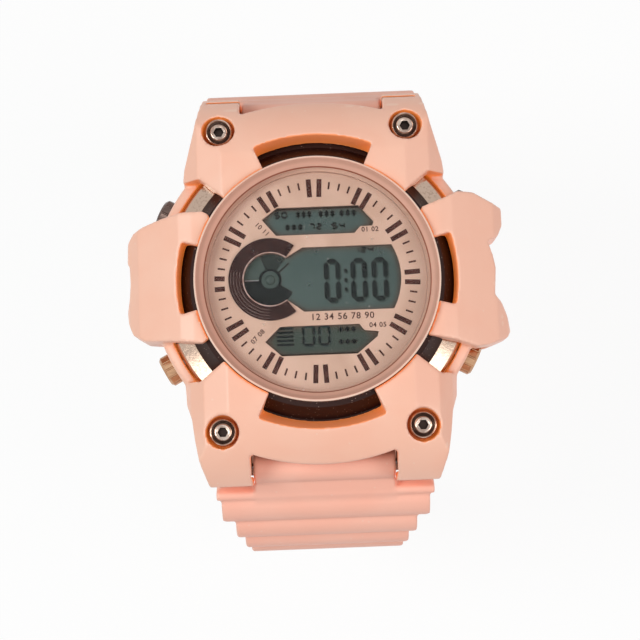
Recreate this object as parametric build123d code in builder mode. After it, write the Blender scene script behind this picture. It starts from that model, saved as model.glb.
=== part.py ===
from build123d import *
import os
from math import cos, degrees, radians, sin

# Digital sports watch with a screwed-on resin shroud and a ribbed resin strap.
# The origin is the centre of the case back's outer face. Z runs out through the dial,
# Y towards 12 o'clock and X towards 3 o'clock. Angles on the dial count clockwise from 12.

os.makedirs("parts", exist_ok=True)

# Fits between pieces
slip_fit = 0.1
running_fit = 0.05
shroud_gap = 0.2
cut_over = 1.0

# What the head is stacked from, from the case back's outer face up to the glass ring
back_thickness = 1.6
spigot_height = 0.6
buzzer_thickness = 0.25
holder_gap = 0.35
cell_seat = 0.7
cell_thickness = 1.6
web_thickness = 0.6
chamber_depth = 1.4
board_thickness = 0.8
guide_depth = 2.6
display_thickness = 1.8
display_gap = 0.1
dial_recess = 1.3
ring_stand = 2.7

buzzer_bottom = back_thickness + spigot_height
holder_bottom = buzzer_bottom + buzzer_thickness + holder_gap
cell_bottom = holder_bottom + cell_seat
cell_top = cell_bottom + cell_thickness
web_bottom = cell_top + slip_fit
board_bottom = web_bottom + web_thickness + chamber_depth
board_top = board_bottom + board_thickness
display_bottom = board_top + guide_depth
module_top = display_bottom + display_thickness + display_gap
tower_height = module_top + dial_recess
ring_height = tower_height + ring_stand

# Heights that hang on the stack
tower_rise = 2.6
button_drop = 1.2
horn_lift = 0.8
horn_drop = 1.5
skirt_lift = 0.6
skirt_drop = 1.0

shoulder_height = tower_height - tower_rise
button_height = board_bottom - button_drop
horn_bottom = back_thickness + horn_lift
horn_top = shoulder_height - horn_drop
skirt_bottom = back_thickness + skirt_lift
skirt_top = shoulder_height - skirt_drop

# Radii of the head, from the bore outwards
bore_radius = 15.6
ring_width = 1.7
tower_step = 0.7
tower_slope = 1.65
shoulder_width = 2.45
skirt_thickness = 1.6
guard_depth = 3.8

ring_radius = bore_radius + ring_width
tower_radius = ring_radius + tower_step
tower_foot_radius = tower_radius + tower_slope
case_radius = tower_foot_radius + shoulder_width
skirt_radius = case_radius + shroud_gap + skirt_thickness
guard_reach = skirt_radius + guard_depth

# Where the strap and the shroud screws meet the head
bar_stand = 3.7
bar_height = 4.6
horn_end = 1.3
horn_inside = 10.4
horn_width = 4.8
horn_root_back = 2.6
upper_screw_inset = 1.85
upper_screw_back = 5.2
lower_screw_inset = 1.15
lower_screw_back = 6.15
button_angle = 62.5

bar_reach = case_radius + bar_stand
horn_reach = bar_reach + horn_end
horn_outside = horn_inside + horn_width
horn_root = bore_radius - horn_root_back
upper_screw_x = horn_outside - upper_screw_inset
upper_screw_y = horn_reach - upper_screw_back
lower_screw_x = horn_outside - lower_screw_inset
lower_screw_y = horn_reach - lower_screw_back
button_angles = {
    "upper_right": button_angle,
    "lower_right": 180 - button_angle,
    "lower_left": 180 + button_angle,
    "upper_left": 360 - button_angle,
}


def around(radius, angle):
    """A place in plan at this radius and clock angle."""
    return (radius * sin(radians(angle)), radius * cos(radians(angle)))


def upright(angle):
    """A standing plane through the centre: its x runs out along the clock angle, its y up."""
    way = around(1, angle)
    return Plane(origin=(0, 0, 0), x_dir=(way[0], way[1], 0), z_dir=(way[1], -way[0], 0))


def button_plane(angle, radius):
    """A plane square to a button's axis, at this distance from the centre."""
    way = around(1, angle)
    place = around(radius, angle)
    return Plane(origin=(place[0], place[1], button_height), x_dir=(0, 0, 1), z_dir=(way[0], way[1], 0))


# Mid case, plated: bore, shoulder, tower under the glass ring, four horns
shoulder_round = 0.45
seal_groove_inset = 0.6
seal_groove_width = 1.1
seal_groove_depth = 0.8
button_shaft_radius = 0.75
button_well_radius = 1.7
button_well_wall = 2.4
button_seal_inset = 0.8
button_seal_length = 0.6
button_seal_radius = 1.1
bar_tip_radius = 0.45
bar_hole_depth = 1.9
shroud_screw_radius = 0.8
shroud_screw_hole_depth = 5.2
back_screw_inset = 3.2
back_screw_angles = (30, 150, 210, 330)
back_screw_radius = 0.55
back_screw_hole_depth = 3.0

seal_groove_inside = bore_radius + seal_groove_inset
button_well_floor = bore_radius + button_well_wall
button_seal_start = bore_radius + button_seal_inset
back_screw_circle = case_radius - back_screw_inset
screw_places = [
    (upper_screw_x, upper_screw_y),
    (-upper_screw_x, upper_screw_y),
    (lower_screw_x, -lower_screw_y),
    (-lower_screw_x, -lower_screw_y),
]
shoulder_edge_height = shoulder_height - 2 * shoulder_round

with BuildPart() as case:
    with BuildSketch(Plane.XZ):
        with BuildLine():
            Polyline(
                (bore_radius, back_thickness),
                (case_radius, back_thickness),
                (case_radius, shoulder_edge_height),
                (case_radius - shoulder_round, shoulder_height - shoulder_round / 2),
                (tower_foot_radius, shoulder_height),
                (tower_radius, tower_height),
                (bore_radius, tower_height),
                close=True,
            )
        make_face()
    revolve(axis=Axis.Z)
    horn_length = horn_reach - horn_root
    with BuildSketch(Plane.XY.offset(horn_bottom)):
        for side in (1, -1):
            for end in (1, -1):
                horn_middle = (side * (horn_inside + horn_width / 2), end * (horn_root + horn_length / 2))
                with Locations(horn_middle):
                    Rectangle(horn_width, horn_length)
    extrude(amount=horn_top - horn_bottom)
    with BuildSketch(Plane.XY.offset(back_thickness)):
        Circle(seal_groove_inside + seal_groove_width)
        Circle(seal_groove_inside, mode=Mode.SUBTRACT)
    extrude(amount=seal_groove_depth, mode=Mode.SUBTRACT)
    for angle in button_angles.values():
        with BuildSketch(button_plane(angle, bore_radius - cut_over)):
            Circle(button_shaft_radius + running_fit)
        extrude(amount=case_radius - bore_radius + 2 * cut_over, mode=Mode.SUBTRACT)
        with BuildSketch(button_plane(angle, button_well_floor)):
            Circle(button_well_radius)
        extrude(amount=case_radius - button_well_floor + cut_over, mode=Mode.SUBTRACT)
        with BuildSketch(button_plane(angle, button_seal_start - running_fit)):
            Circle(button_seal_radius + running_fit)
        extrude(amount=button_seal_length + 2 * running_fit, mode=Mode.SUBTRACT)
    for end in (1, -1):
        with BuildSketch(Plane.YZ.offset(-horn_inside - bar_hole_depth)):
            with Locations((end * bar_reach, bar_height)):
                Circle(bar_tip_radius + running_fit)
        extrude(amount=2 * (horn_inside + bar_hole_depth), mode=Mode.SUBTRACT)
    with Locations(*[(x, y, horn_top) for x, y in screw_places]):
        Hole(radius=shroud_screw_radius + running_fit, depth=shroud_screw_hole_depth)
    with BuildSketch(Plane.XY.offset(back_thickness)):
        for angle in back_screw_angles:
            with Locations(around(back_screw_circle, angle)):
                Circle(back_screw_radius + running_fit)
    extrude(amount=back_screw_hole_depth, mode=Mode.SUBTRACT)
case.part.label = "case"
export_step(case.part, "parts/case.step")

# Case back with its spigot, seal and four countersunk screws
back_inset = 0.5
back_groove_inset = 1.2
back_groove_width = 0.5
back_groove_depth = 0.2
back_screw_head_radius = 1.1
back_screw_head_height = 0.6
back_screw_length = 2.6
driver_slot_width = 0.3
driver_slot_depth = 0.25
seal_squeeze = 0.06

back_radius = case_radius - back_inset
back_groove_radius = bore_radius - back_groove_inset
with BuildPart() as case_back:
    with BuildSketch():
        Circle(back_radius)
    extrude(amount=back_thickness)
    with BuildSketch(Plane.XY.offset(back_thickness)):
        Circle(bore_radius - slip_fit)
    extrude(amount=spigot_height)
    with BuildSketch():
        Circle(back_groove_radius)
        Circle(back_groove_radius - back_groove_width, mode=Mode.SUBTRACT)
    extrude(amount=back_groove_depth, mode=Mode.SUBTRACT)
    for angle in back_screw_angles:
        with BuildSketch():
            with Locations(around(back_screw_circle, angle)):
                Circle(back_screw_head_radius + running_fit)
        extrude(amount=back_screw_head_height, mode=Mode.SUBTRACT)
        with BuildSketch():
            with Locations(around(back_screw_circle, angle)):
                Circle(back_screw_radius + slip_fit)
        extrude(amount=back_thickness, mode=Mode.SUBTRACT)
    rim = case_back.edges().filter_by(GeomType.CIRCLE).group_by(Axis.Z)[0].sort_by(SortBy.RADIUS)[-1]
    chamfer(rim, length=back_thickness / 4)
case_back.part.label = "case_back"
export_step(case_back.part, "parts/case_back.step")

with BuildPart() as case_back_screws:
    for angle in back_screw_angles:
        with BuildSketch():
            with Locations(around(back_screw_circle, angle)):
                Circle(back_screw_head_radius)
        extrude(amount=back_screw_head_height)
        with BuildSketch(Plane.XY.offset(back_screw_head_height)):
            with Locations(around(back_screw_circle, angle)):
                Circle(back_screw_radius)
        extrude(amount=back_screw_length)
        with BuildSketch():
            with Locations(around(back_screw_circle, angle)):
                Rectangle(2 * back_screw_head_radius, driver_slot_width)
                Rectangle(driver_slot_width, 2 * back_screw_head_radius)
        extrude(amount=driver_slot_depth, mode=Mode.SUBTRACT)
case_back_screws.part.label = "case_back_screws"
export_step(case_back_screws.part, "parts/case_back_screws.step")

seal_thickness = seal_groove_depth - seal_squeeze
with BuildPart() as case_back_seal:
    with BuildSketch(Plane.XY.offset(back_thickness)):
        Circle(seal_groove_inside + seal_groove_width - seal_squeeze)
        Circle(seal_groove_inside + seal_squeeze, mode=Mode.SUBTRACT)
    extrude(amount=seal_thickness)
    fillet(case_back_seal.edges().group_by(Axis.Z)[-1], radius=seal_thickness / 3)
case_back_seal.part.label = "case_back_seal"
export_step(case_back_seal.part, "parts/case_back_seal.step")

# Resin shroud: two yokes over the horns, a guard each side and the skirt that ties them
yoke_wing = 3.7
upper_leg_past = 0.9
lower_leg_past = 1.5
upper_hood_notch = 3.5
lower_hood_notch = 4.5
hood_crown = 1.8
dome_inset = 0.8
dome_start_drop = 0.7
dome_middle_back = 3.7
dome_middle_drop = 2.8
dome_end_rise = 3.7
hood_clearance = 3.1
hood_root_past = 0.7
crest_drop = 0.4
skirt_edge = 0.6

yoke_half_width = horn_outside + yoke_wing
upper_leg_end = horn_reach + upper_leg_past
lower_leg_end = horn_reach + lower_leg_past
leg_inside = horn_inside
dome_start = ring_radius - dome_inset
dome_start_height = ring_height - dome_start_drop
dome_middle = horn_reach - dome_middle_back
dome_middle_height = ring_height - dome_middle_drop
dome_end_height = bar_height + dome_end_rise
hood_underside = bar_height + hood_clearance
hood_root = ring_radius + hood_root_past
arm_crest = ring_height - crest_drop

# Shares of the yoke's half width and of its leg's end, from the ring out to the hood
upper_yoke_shares = [
    (0.497, 0.321),
    (0.862, 0.539),
    (1.000, 0.539),
    (0.984, 0.607),
    (0.937, 0.711),
    (0.894, 0.804),
    (0.873, 0.871),
    (0.841, 1.000),
]
lower_yoke_shares = [
    (0.524, 0.294),
    (0.894, 0.479),
    (1.032, 0.476),
    (1.021, 0.591),
    (0.979, 0.661),
    (0.958, 0.769),
    (0.926, 0.881),
    (0.873, 1.000),
]
# Shares of the yoke's half width and of the arm's crest, from the crest down the side
yoke_side_shares = [
    (0.000, 1.000),
    (0.688, 0.972),
    (0.878, 0.863),
    (0.984, 0.720),
    (1.035, 0.559),
]

# Guards: shares of the reach and of the half length, anticlockwise in plan
guard_half_length = 12.4
guard_lift = 1.4
guard_bottom = skirt_bottom + guard_lift
right_guard_shares = [
    (0.470, -0.460),
    (0.545, -0.685),
    (0.690, -0.745),
    (0.805, -0.823),
    (0.877, -0.795),
    (0.975, -0.712),
    (1.000, -0.629),
    (0.980, -0.452),
    (0.950, -0.298),
    (0.915, -0.218),
    (0.926, 0.097),
    (0.913, 0.242),
    (0.888, 0.403),
    (0.946, 0.468),
    (0.975, 0.605),
    (0.975, 0.807),
    (0.900, 0.880),
    (0.815, 0.965),
    (0.735, 0.965),
    (0.672, 0.890),
    (0.545, 0.774),
    (0.470, 0.420),
]
left_guard_shares = [
    (-0.470, 0.400),
    (-0.545, 0.782),
    (-0.572, 0.815),
    (-0.677, 0.825),
    (-0.785, 0.785),
    (-0.895, 0.722),
    (-0.953, 0.660),
    (-0.986, 0.560),
    (-0.993, 0.330),
    (-0.978, 0.280),
    (-0.975, 0.080),
    (-0.982, -0.095),
    (-1.000, -0.240),
    (-0.993, -0.379),
    (-0.964, -0.524),
    (-0.900, -0.613),
    (-0.742, -0.640),
    (-0.590, -0.685),
    (-0.555, -0.627),
    (-0.470, -0.430),
]
# Shares of the guard's reach and of the arm's crest, from the ring outwards
guard_side_shares = [
    (0.480, 0.985),
    (0.632, 0.965),
    (0.700, 0.925),
    (0.790, 0.835),
    (0.925, 0.690),
    (0.982, 0.575),
    (1.004, 0.460),
    (0.985, 0.300),
    (0.950, 0.220),
    (0.480, 0.220),
]

# Windows between the arms: clock angles, reach past the ring at the foot, and how far the wall
# leans out above that
hour_12_reach = 2.8
hour_12_lean = 1.0
hour_6_reach = 2.25
hour_6_lean = 2.4
side_reach = 1.9
side_lean = 1.1
windows = [
    (-24, 24, hour_12_reach, hour_12_lean),
    (72.5, 102.5, side_reach, side_lean),
    (155, 205, hour_6_reach, hour_6_lean),
    (257.5, 287.5, side_reach, side_lean),
]

screw_head_radius = 1.95
screw_recess_radius = 2.35
screw_head_height = 1.5
screw_seat_rise = 2.3
button_cap_radius = 2.3
button_window_radius = 2.75
grip_inset = 1.6
grip_y = 1.1
grip_spacing = 1.25
grip_count = 5
grip_width = 0.45
grip_depth = 0.9
ear_slot_inset = 1.7
ear_slot_y = -6.4
ear_slot_length = 2.2
ear_slot_width = 0.35
ear_slot_drop = 0.8

screw_seat_height = horn_top + screw_seat_rise
ear_slot_floor = shoulder_height - ear_slot_drop


def yoke_plan(shares, leg_end, hood_notch, end):
    """Plan outline of one yoke: its right half is drawn, and its left half is the mirror of it."""
    right = [(x * yoke_half_width, end * y * leg_end) for x, y in shares]
    notch = end * (leg_end - hood_notch)
    right = right + [(leg_inside, end * leg_end), (leg_inside, notch)]
    left = [(-x, y) for x, y in right]
    Polyline(*right)
    ThreePointArc(right[-1], (0, notch + end * hood_crown), left[-1])
    Polyline(*left)
    Line(left[0], right[0])


with BuildPart() as yokes:
    with BuildSketch(Plane.XY.offset(skirt_bottom)):
        with BuildLine():
            yoke_plan(upper_yoke_shares, upper_leg_end, upper_hood_notch, 1)
        make_face()
        with BuildLine():
            yoke_plan(lower_yoke_shares, lower_leg_end, lower_hood_notch, -1)
        make_face()
    extrude(amount=ring_height - skirt_bottom)
    with BuildSketch(Plane.YZ):
        with BuildLine():
            Line((-dome_start, dome_start_height), (dome_start, dome_start_height))
            ThreePointArc(
                (dome_start, dome_start_height),
                (dome_middle, dome_middle_height),
                (upper_leg_end, dome_end_height),
            )
            Polyline(
                (upper_leg_end, dome_end_height),
                (upper_leg_end, skirt_bottom),
                (-lower_leg_end, skirt_bottom),
                (-lower_leg_end, dome_end_height),
            )
            ThreePointArc(
                (-lower_leg_end, dome_end_height),
                (-dome_middle, dome_middle_height),
                (-dome_start, dome_start_height),
            )
        make_face()
    extrude(amount=guard_reach, both=True, mode=Mode.INTERSECT)
    with BuildSketch(Plane.XZ):
        with BuildLine():
            falling = [(x * yoke_half_width, z * arm_crest) for x, z in yoke_side_shares[1:]]
            falling.append((falling[-1][0], skirt_bottom))
            rising = [(-x, z) for x, z in reversed(falling)]
            Polyline(*rising, *falling, close=True)
        make_face()
    extrude(amount=guard_reach + guard_half_length, both=True, mode=Mode.INTERSECT)

with BuildPart() as guards:
    for shares in (right_guard_shares, left_guard_shares):
        with BuildSketch(Plane.XY.offset(guard_bottom)):
            with BuildLine():
                Polyline(*[(x * guard_reach, y * guard_half_length) for x, y in shares], close=True)
            make_face()
    extrude(amount=ring_height - guard_bottom)
    with BuildSketch(Plane.XZ):
        for side in (1, -1):
            with BuildLine():
                profile = [(side * x * guard_reach, z * arm_crest) for x, z in guard_side_shares]
                Polyline(*profile, close=True)
            make_face()
    extrude(amount=guard_half_length, both=True, mode=Mode.INTERSECT)

with BuildPart() as bezel_shroud:
    with BuildSketch(Plane.XZ):
        with BuildLine():
            Polyline(
                (case_radius + shroud_gap, skirt_bottom),
                (skirt_radius - skirt_edge, skirt_bottom),
                (skirt_radius, skirt_bottom + skirt_edge),
                (skirt_radius, skirt_top - skirt_edge),
                (skirt_radius - skirt_edge / 2, skirt_top),
                (case_radius + shroud_gap, skirt_top + skirt_edge / 2),
                close=True,
            )
        make_face()
    revolve(axis=Axis.Z)
    add(yokes.part)
    add(guards.part)
    # Room for the case, its shoulder and its tower
    shroud_bore = case_radius + shroud_gap
    round_height = shoulder_height - shoulder_round / 2
    with BuildSketch(Plane.XZ):
        with BuildLine():
            Polyline(
                (0, skirt_bottom - cut_over),
                (shroud_bore, skirt_bottom - cut_over),
                (shroud_bore, shoulder_edge_height + shroud_gap),
                (shroud_bore - shoulder_round, round_height + shroud_gap),
                (tower_foot_radius + shroud_gap, shoulder_height + shroud_gap),
                (tower_radius + shroud_gap, tower_height + shroud_gap),
                (ring_radius + slip_fit, tower_height + shroud_gap),
                (ring_radius + slip_fit, ring_height + cut_over),
                (0, ring_height + cut_over),
                close=True,
            )
        make_face()
    revolve(axis=Axis.Z, mode=Mode.SUBTRACT)
    # Windows with outer walls that lean out
    for start, stop, reach, lean in windows:
        with BuildSketch(upright(stop)):
            with BuildLine():
                Polyline(
                    (ring_radius - cut_over, shoulder_height - shoulder_round),
                    (ring_radius + reach, shoulder_height - shoulder_round),
                    (ring_radius + reach + lean, ring_height + cut_over),
                    (ring_radius - cut_over, ring_height + cut_over),
                    close=True,
                )
            make_face()
        revolve(axis=Axis.Z, revolution_arc=stop - start, mode=Mode.SUBTRACT)
    # Pockets for the horns, and the gap between the legs where the strap swings
    for end in (1, -1):
        pocket_length = horn_reach + shroud_gap - horn_root
        pocket_width = 2 * (horn_outside + shroud_gap)
        with BuildSketch(Plane.XY.offset(skirt_bottom - cut_over)):
            with Locations((0, end * (horn_root + pocket_length / 2))):
                Rectangle(pocket_width, pocket_length)
                Rectangle(2 * (horn_inside - shroud_gap), pocket_length + cut_over, mode=Mode.SUBTRACT)
        extrude(amount=horn_top + shroud_gap - skirt_bottom + cut_over, mode=Mode.SUBTRACT)
        gap_length = lower_leg_end - hood_root + cut_over
        with BuildSketch(Plane.XY.offset(skirt_bottom - cut_over)):
            with Locations((0, end * (hood_root + gap_length / 2))):
                Rectangle(2 * leg_inside, gap_length)
        extrude(amount=hood_underside - skirt_bottom + cut_over, mode=Mode.SUBTRACT)
    # Recesses and holes for the four screws
    with BuildSketch(Plane.XY.offset(screw_seat_height)):
        with Locations(*screw_places):
            Circle(screw_recess_radius)
    extrude(amount=ring_height - screw_seat_height, mode=Mode.SUBTRACT)
    with BuildSketch(Plane.XY.offset(horn_top)):
        with Locations(*screw_places):
            Circle(shroud_screw_radius + slip_fit)
    extrude(amount=screw_seat_height - horn_top + cut_over, mode=Mode.SUBTRACT)
    # Holes in the skirt and hollows in the guards for the button caps
    for angle in button_angles.values():
        with BuildSketch(button_plane(angle, case_radius)):
            Circle(button_window_radius)
        extrude(amount=guard_reach, mode=Mode.SUBTRACT)
    # Finger grips between the right guard's ears, and the slot in its lower ear
    with BuildSketch(Plane.XY.offset(guard_bottom - cut_over)):
        with Locations((guard_reach - grip_inset, grip_y)):
            with GridLocations(grip_depth, grip_spacing, 1, grip_count):
                Rectangle(grip_depth, grip_width)
    extrude(amount=ring_height - guard_bottom, mode=Mode.SUBTRACT)
    with BuildSketch(Plane.XY.offset(ear_slot_floor)):
        with Locations((guard_reach - ear_slot_inset, ear_slot_y)):
            SlotOverall(ear_slot_length, ear_slot_width, rotation=90)
    extrude(amount=ring_height - ear_slot_floor, mode=Mode.SUBTRACT)
bezel_shroud.part.label = "bezel_shroud"
export_step(bezel_shroud.part, "parts/bezel_shroud.step")

# Shroud screws: a rim, a groove, an inner ring and a hex socket
screw_groove_radius = 1.65
screw_hub_radius = 1.2
screw_groove_depth = 0.45
hex_socket_radius = 0.75
hex_socket_depth = 0.8
screw_tip_gap = 1.0
screw_shank_length = screw_seat_height - horn_top + shroud_screw_hole_depth - screw_tip_gap

with BuildPart() as shroud_screws:
    with BuildSketch(Plane.XY.offset(screw_seat_height)):
        with Locations(*screw_places):
            Circle(screw_head_radius)
    extrude(amount=screw_head_height)
    chamfer(shroud_screws.edges().group_by(Axis.Z)[-1], length=screw_groove_depth / 3)
    with BuildSketch(Plane.XY.offset(screw_seat_height + screw_head_height - screw_groove_depth)):
        with Locations(*screw_places):
            Circle(screw_groove_radius)
            Circle(screw_hub_radius, mode=Mode.SUBTRACT)
    extrude(amount=screw_groove_depth, mode=Mode.SUBTRACT)
    with BuildSketch(Plane.XY.offset(screw_seat_height + screw_head_height - hex_socket_depth)):
        with Locations(*screw_places):
            RegularPolygon(hex_socket_radius, 6)
    extrude(amount=hex_socket_depth, mode=Mode.SUBTRACT)
    with BuildSketch(Plane.XY.offset(screw_seat_height - screw_shank_length)):
        with Locations(*screw_places):
            Circle(shroud_screw_radius)
    extrude(amount=screw_shank_length)
shroud_screws.part.label = "shroud_screws"
export_step(shroud_screws.part, "parts/shroud_screws.step")

# Glass ring, glass and its gasket, on the tower
ring_wall = 1.0
ring_rim = 0.3
ring_lip = 0.4
ring_lip_gap = 0.05
ring_edge = 0.15
glass_thickness = 1.2
gasket_thickness = 0.35
gasket_height = 1.1
glass_edge = 0.2

ring_bore_radius = ring_radius - ring_wall
glass_radius = ring_bore_radius - gasket_thickness

with BuildPart() as bezel_ring:
    with BuildSketch(Plane.XZ):
        with BuildLine():
            Polyline(
                (ring_bore_radius, tower_height),
                (ring_radius, tower_height),
                (ring_radius, ring_height - ring_edge),
                (ring_radius - ring_edge, ring_height),
                (ring_radius - ring_rim, ring_height),
                (ring_bore_radius - ring_lip, tower_height + glass_thickness + 2 * ring_lip_gap),
                (ring_bore_radius - ring_lip, tower_height + glass_thickness + ring_lip_gap),
                (ring_bore_radius, tower_height + glass_thickness + ring_lip_gap),
                close=True,
            )
        make_face()
    revolve(axis=Axis.Z)
bezel_ring.part.label = "bezel_ring"
export_step(bezel_ring.part, "parts/bezel_ring.step")

with BuildPart() as crystal:
    with BuildSketch(Plane.XY.offset(tower_height)):
        Circle(glass_radius)
    extrude(amount=glass_thickness)
    chamfer(crystal.edges().group_by(Axis.Z)[-1], length=glass_edge)
crystal.part.label = "crystal"
export_step(crystal.part, "parts/crystal.step")

with BuildPart() as crystal_gasket:
    with BuildSketch(Plane.XY.offset(tower_height)):
        Circle(ring_bore_radius - running_fit)
        Circle(glass_radius + running_fit, mode=Mode.SUBTRACT)
    extrude(amount=gasket_height)
crystal_gasket.part.label = "crystal_gasket"
export_step(crystal_gasket.part, "parts/crystal_gasket.step")

# Dial plate with three windows over the display, and the dark crescent round the left one
dial_thickness = 0.6
small_dial_x = -6.7
small_dial_y = 0.4
small_dial_radius = 3.75
crescent_radius = 5.9
crescent_thickness = 0.25
crescent_opening_angle = 53
main_window_left = -2.0
main_window_inset = 3.55
main_window_curve = 1.2
main_window_half_height = 4.6
main_window_y = 0.2
end_window_half_width = 8.3
end_window_inset = 4.85

dial_radius = bore_radius - 1.5 * slip_fit
main_window_bulge = dial_radius - main_window_inset
main_window_right = main_window_bulge - main_window_curve
end_window_outer = dial_radius - end_window_inset
# Shares of the end window's half width and of its outer edge, anticlockwise from the outer left corner
upper_window_shares = [
    (-0.651, 1.000),
    (-0.916, 0.848),
    (-0.681, 0.623),
    (0.663, 0.623),
    (0.771, 0.712),
    (0.976, 0.715),
    (1.000, 0.774),
    (0.747, 1.000),
]
lower_window_shares = [
    (-0.663, -0.604),
    (-0.928, -0.802),
    (-0.651, -1.000),
    (0.639, -1.000),
    (0.988, -0.778),
    (1.010, -0.712),
    (0.771, -0.689),
    (0.687, -0.604),
]

with BuildPart() as dial_plate:
    with BuildSketch(Plane.XY.offset(module_top)):
        Circle(dial_radius)
        for shares in (upper_window_shares, lower_window_shares):
            window = [(x * end_window_half_width, y * end_window_outer) for x, y in shares]
            with BuildLine():
                Polyline(*window, close=True)
            make_face(mode=Mode.SUBTRACT)
        with Locations((small_dial_x, small_dial_y)):
            Circle(small_dial_radius, mode=Mode.SUBTRACT)
        waist_x = small_dial_x + small_dial_radius * cos(radians(crescent_opening_angle))
        waist_half = small_dial_radius * sin(radians(crescent_opening_angle))
        with BuildLine():
            Polyline(
                (main_window_right, main_window_y + main_window_half_height),
                (main_window_left, main_window_y + main_window_half_height),
                (waist_x, small_dial_y + waist_half),
                (waist_x, small_dial_y - waist_half),
                (main_window_left, main_window_y - main_window_half_height),
                (main_window_right, main_window_y - main_window_half_height),
            )
            ThreePointArc(
                (main_window_right, main_window_y - main_window_half_height),
                (main_window_bulge, main_window_y),
                (main_window_right, main_window_y + main_window_half_height),
            )
        make_face(mode=Mode.SUBTRACT)
    extrude(amount=dial_thickness)
dial_plate.part.label = "dial_plate"
export_step(dial_plate.part, "parts/dial_plate.step")

with BuildPart() as dial_crescent:
    with BuildSketch(Plane.XY.offset(module_top + dial_thickness)):
        with Locations((small_dial_x, small_dial_y)):
            Circle(crescent_radius)
            Circle(small_dial_radius, mode=Mode.SUBTRACT)
        with BuildLine():
            mouth = 2 * crescent_radius
            Polyline(
                (small_dial_x, small_dial_y),
                (
                    small_dial_x + mouth * cos(radians(crescent_opening_angle)),
                    small_dial_y + mouth * sin(radians(crescent_opening_angle)),
                ),
                (
                    small_dial_x + mouth * cos(radians(crescent_opening_angle)),
                    small_dial_y - mouth * sin(radians(crescent_opening_angle)),
                ),
                close=True,
            )
        make_face(mode=Mode.SUBTRACT)
    extrude(amount=crescent_thickness)
dial_crescent.part.label = "dial_crescent"
export_step(dial_crescent.part, "parts/dial_crescent.step")

# Display cell: two glasses with cut corners, the lower one wider where the contacts land
display_side_inset = 2.8
display_end_inset = 4.1
display_corner = 4.5
display_step = 0.9
front_glass_share = 0.5

module_radius = bore_radius - 3 * slip_fit
display_half_width = module_radius - display_side_inset
display_half_height = module_radius - display_end_inset

with BuildPart() as display_panel:
    with BuildSketch(Plane.XY.offset(display_bottom)):
        Rectangle(2 * display_half_width, 2 * display_half_height)
        chamfer(vertices(), length=display_corner)
    extrude(amount=display_thickness * (1 - front_glass_share))
    front_glass_bottom = display_bottom + display_thickness * (1 - front_glass_share)
    with BuildSketch(Plane.XY.offset(front_glass_bottom)):
        Rectangle(2 * display_half_width, 2 * (display_half_height - display_step))
        chamfer(vertices(), length=display_corner - display_step)
    extrude(amount=display_thickness * front_glass_share)
display_panel.part.label = "display_panel"
export_step(display_panel.part, "parts/display_panel.step")

# Module frame: carries the display, the contact strips and the light guide over the board
board_inset = 1.0
light_side_inset = 1.6
light_end_inset = 2.6
strip_inset = 0.9
strip_end_inset = 2.9
strip_half_width = 0.75

board_radius = module_radius - board_inset
light_half_width = display_half_width - light_side_inset
light_half_height = display_half_height - light_end_inset
strip_y = display_half_height - strip_inset
strip_half_length = display_half_width - strip_end_inset

with BuildPart() as module_frame:
    with BuildSketch(Plane.XY.offset(board_top - board_thickness)):
        Circle(module_radius)
    extrude(amount=module_top - board_top + board_thickness)
    with BuildSketch(Plane.XY.offset(display_bottom)):
        Rectangle(2 * (display_half_width + slip_fit), 2 * (display_half_height + slip_fit))
        chamfer(vertices(), length=display_corner)
    extrude(amount=module_top - display_bottom, mode=Mode.SUBTRACT)
    with BuildSketch(Plane.XY.offset(board_top)):
        Rectangle(2 * (light_half_width + slip_fit), 2 * (light_half_height + slip_fit))
        with Locations((0, strip_y), (0, -strip_y)):
            Rectangle(2 * (strip_half_length + slip_fit), 2 * (strip_half_width + slip_fit))
    extrude(amount=display_bottom - board_top, mode=Mode.SUBTRACT)
    with BuildSketch(Plane.XY.offset(board_top - board_thickness)):
        Circle(board_radius + slip_fit)
    extrude(amount=board_thickness, mode=Mode.SUBTRACT)
module_frame.part.label = "module_frame"
export_step(module_frame.part, "parts/module_frame.step")

with BuildPart() as contact_strips:
    with BuildSketch(Plane.XY.offset(board_top)):
        with Locations((0, strip_y), (0, -strip_y)):
            Rectangle(2 * strip_half_length, 2 * strip_half_width)
    extrude(amount=display_bottom - board_top)
contact_strips.part.label = "contact_strips"
export_step(contact_strips.part, "parts/contact_strips.step")

lamp_width = 1.6
lamp_depth = 0.8
lamp_height = 0.9
lamp_clearance = 0.15
guide_gap = 0.1

with BuildPart() as light_guide:
    with BuildSketch(Plane.XY.offset(board_top)):
        Rectangle(2 * light_half_width, 2 * light_half_height)
        with Locations((lamp_depth / 2 - light_half_width, 0)):
            Rectangle(lamp_depth + 2 * lamp_clearance, lamp_width + 2 * lamp_clearance, mode=Mode.SUBTRACT)
    extrude(amount=display_bottom - board_top - guide_gap)
light_guide.part.label = "light_guide"
export_step(light_guide.part, "parts/light_guide.step")

with BuildPart() as backlight_lamp:
    with BuildSketch(Plane.XY.offset(board_top)):
        with Locations((lamp_depth / 2 - light_half_width, 0)):
            Rectangle(lamp_depth, lamp_width)
    extrude(amount=lamp_height)
backlight_lamp.part.label = "backlight_lamp"
export_step(backlight_lamp.part, "parts/backlight_lamp.step")

with BuildPart() as circuit_board:
    with BuildSketch(Plane.XY.offset(board_top - board_thickness)):
        Circle(board_radius)
    extrude(amount=board_thickness)
circuit_board.part.label = "circuit_board"
export_step(circuit_board.part, "parts/circuit_board.step")

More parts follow.
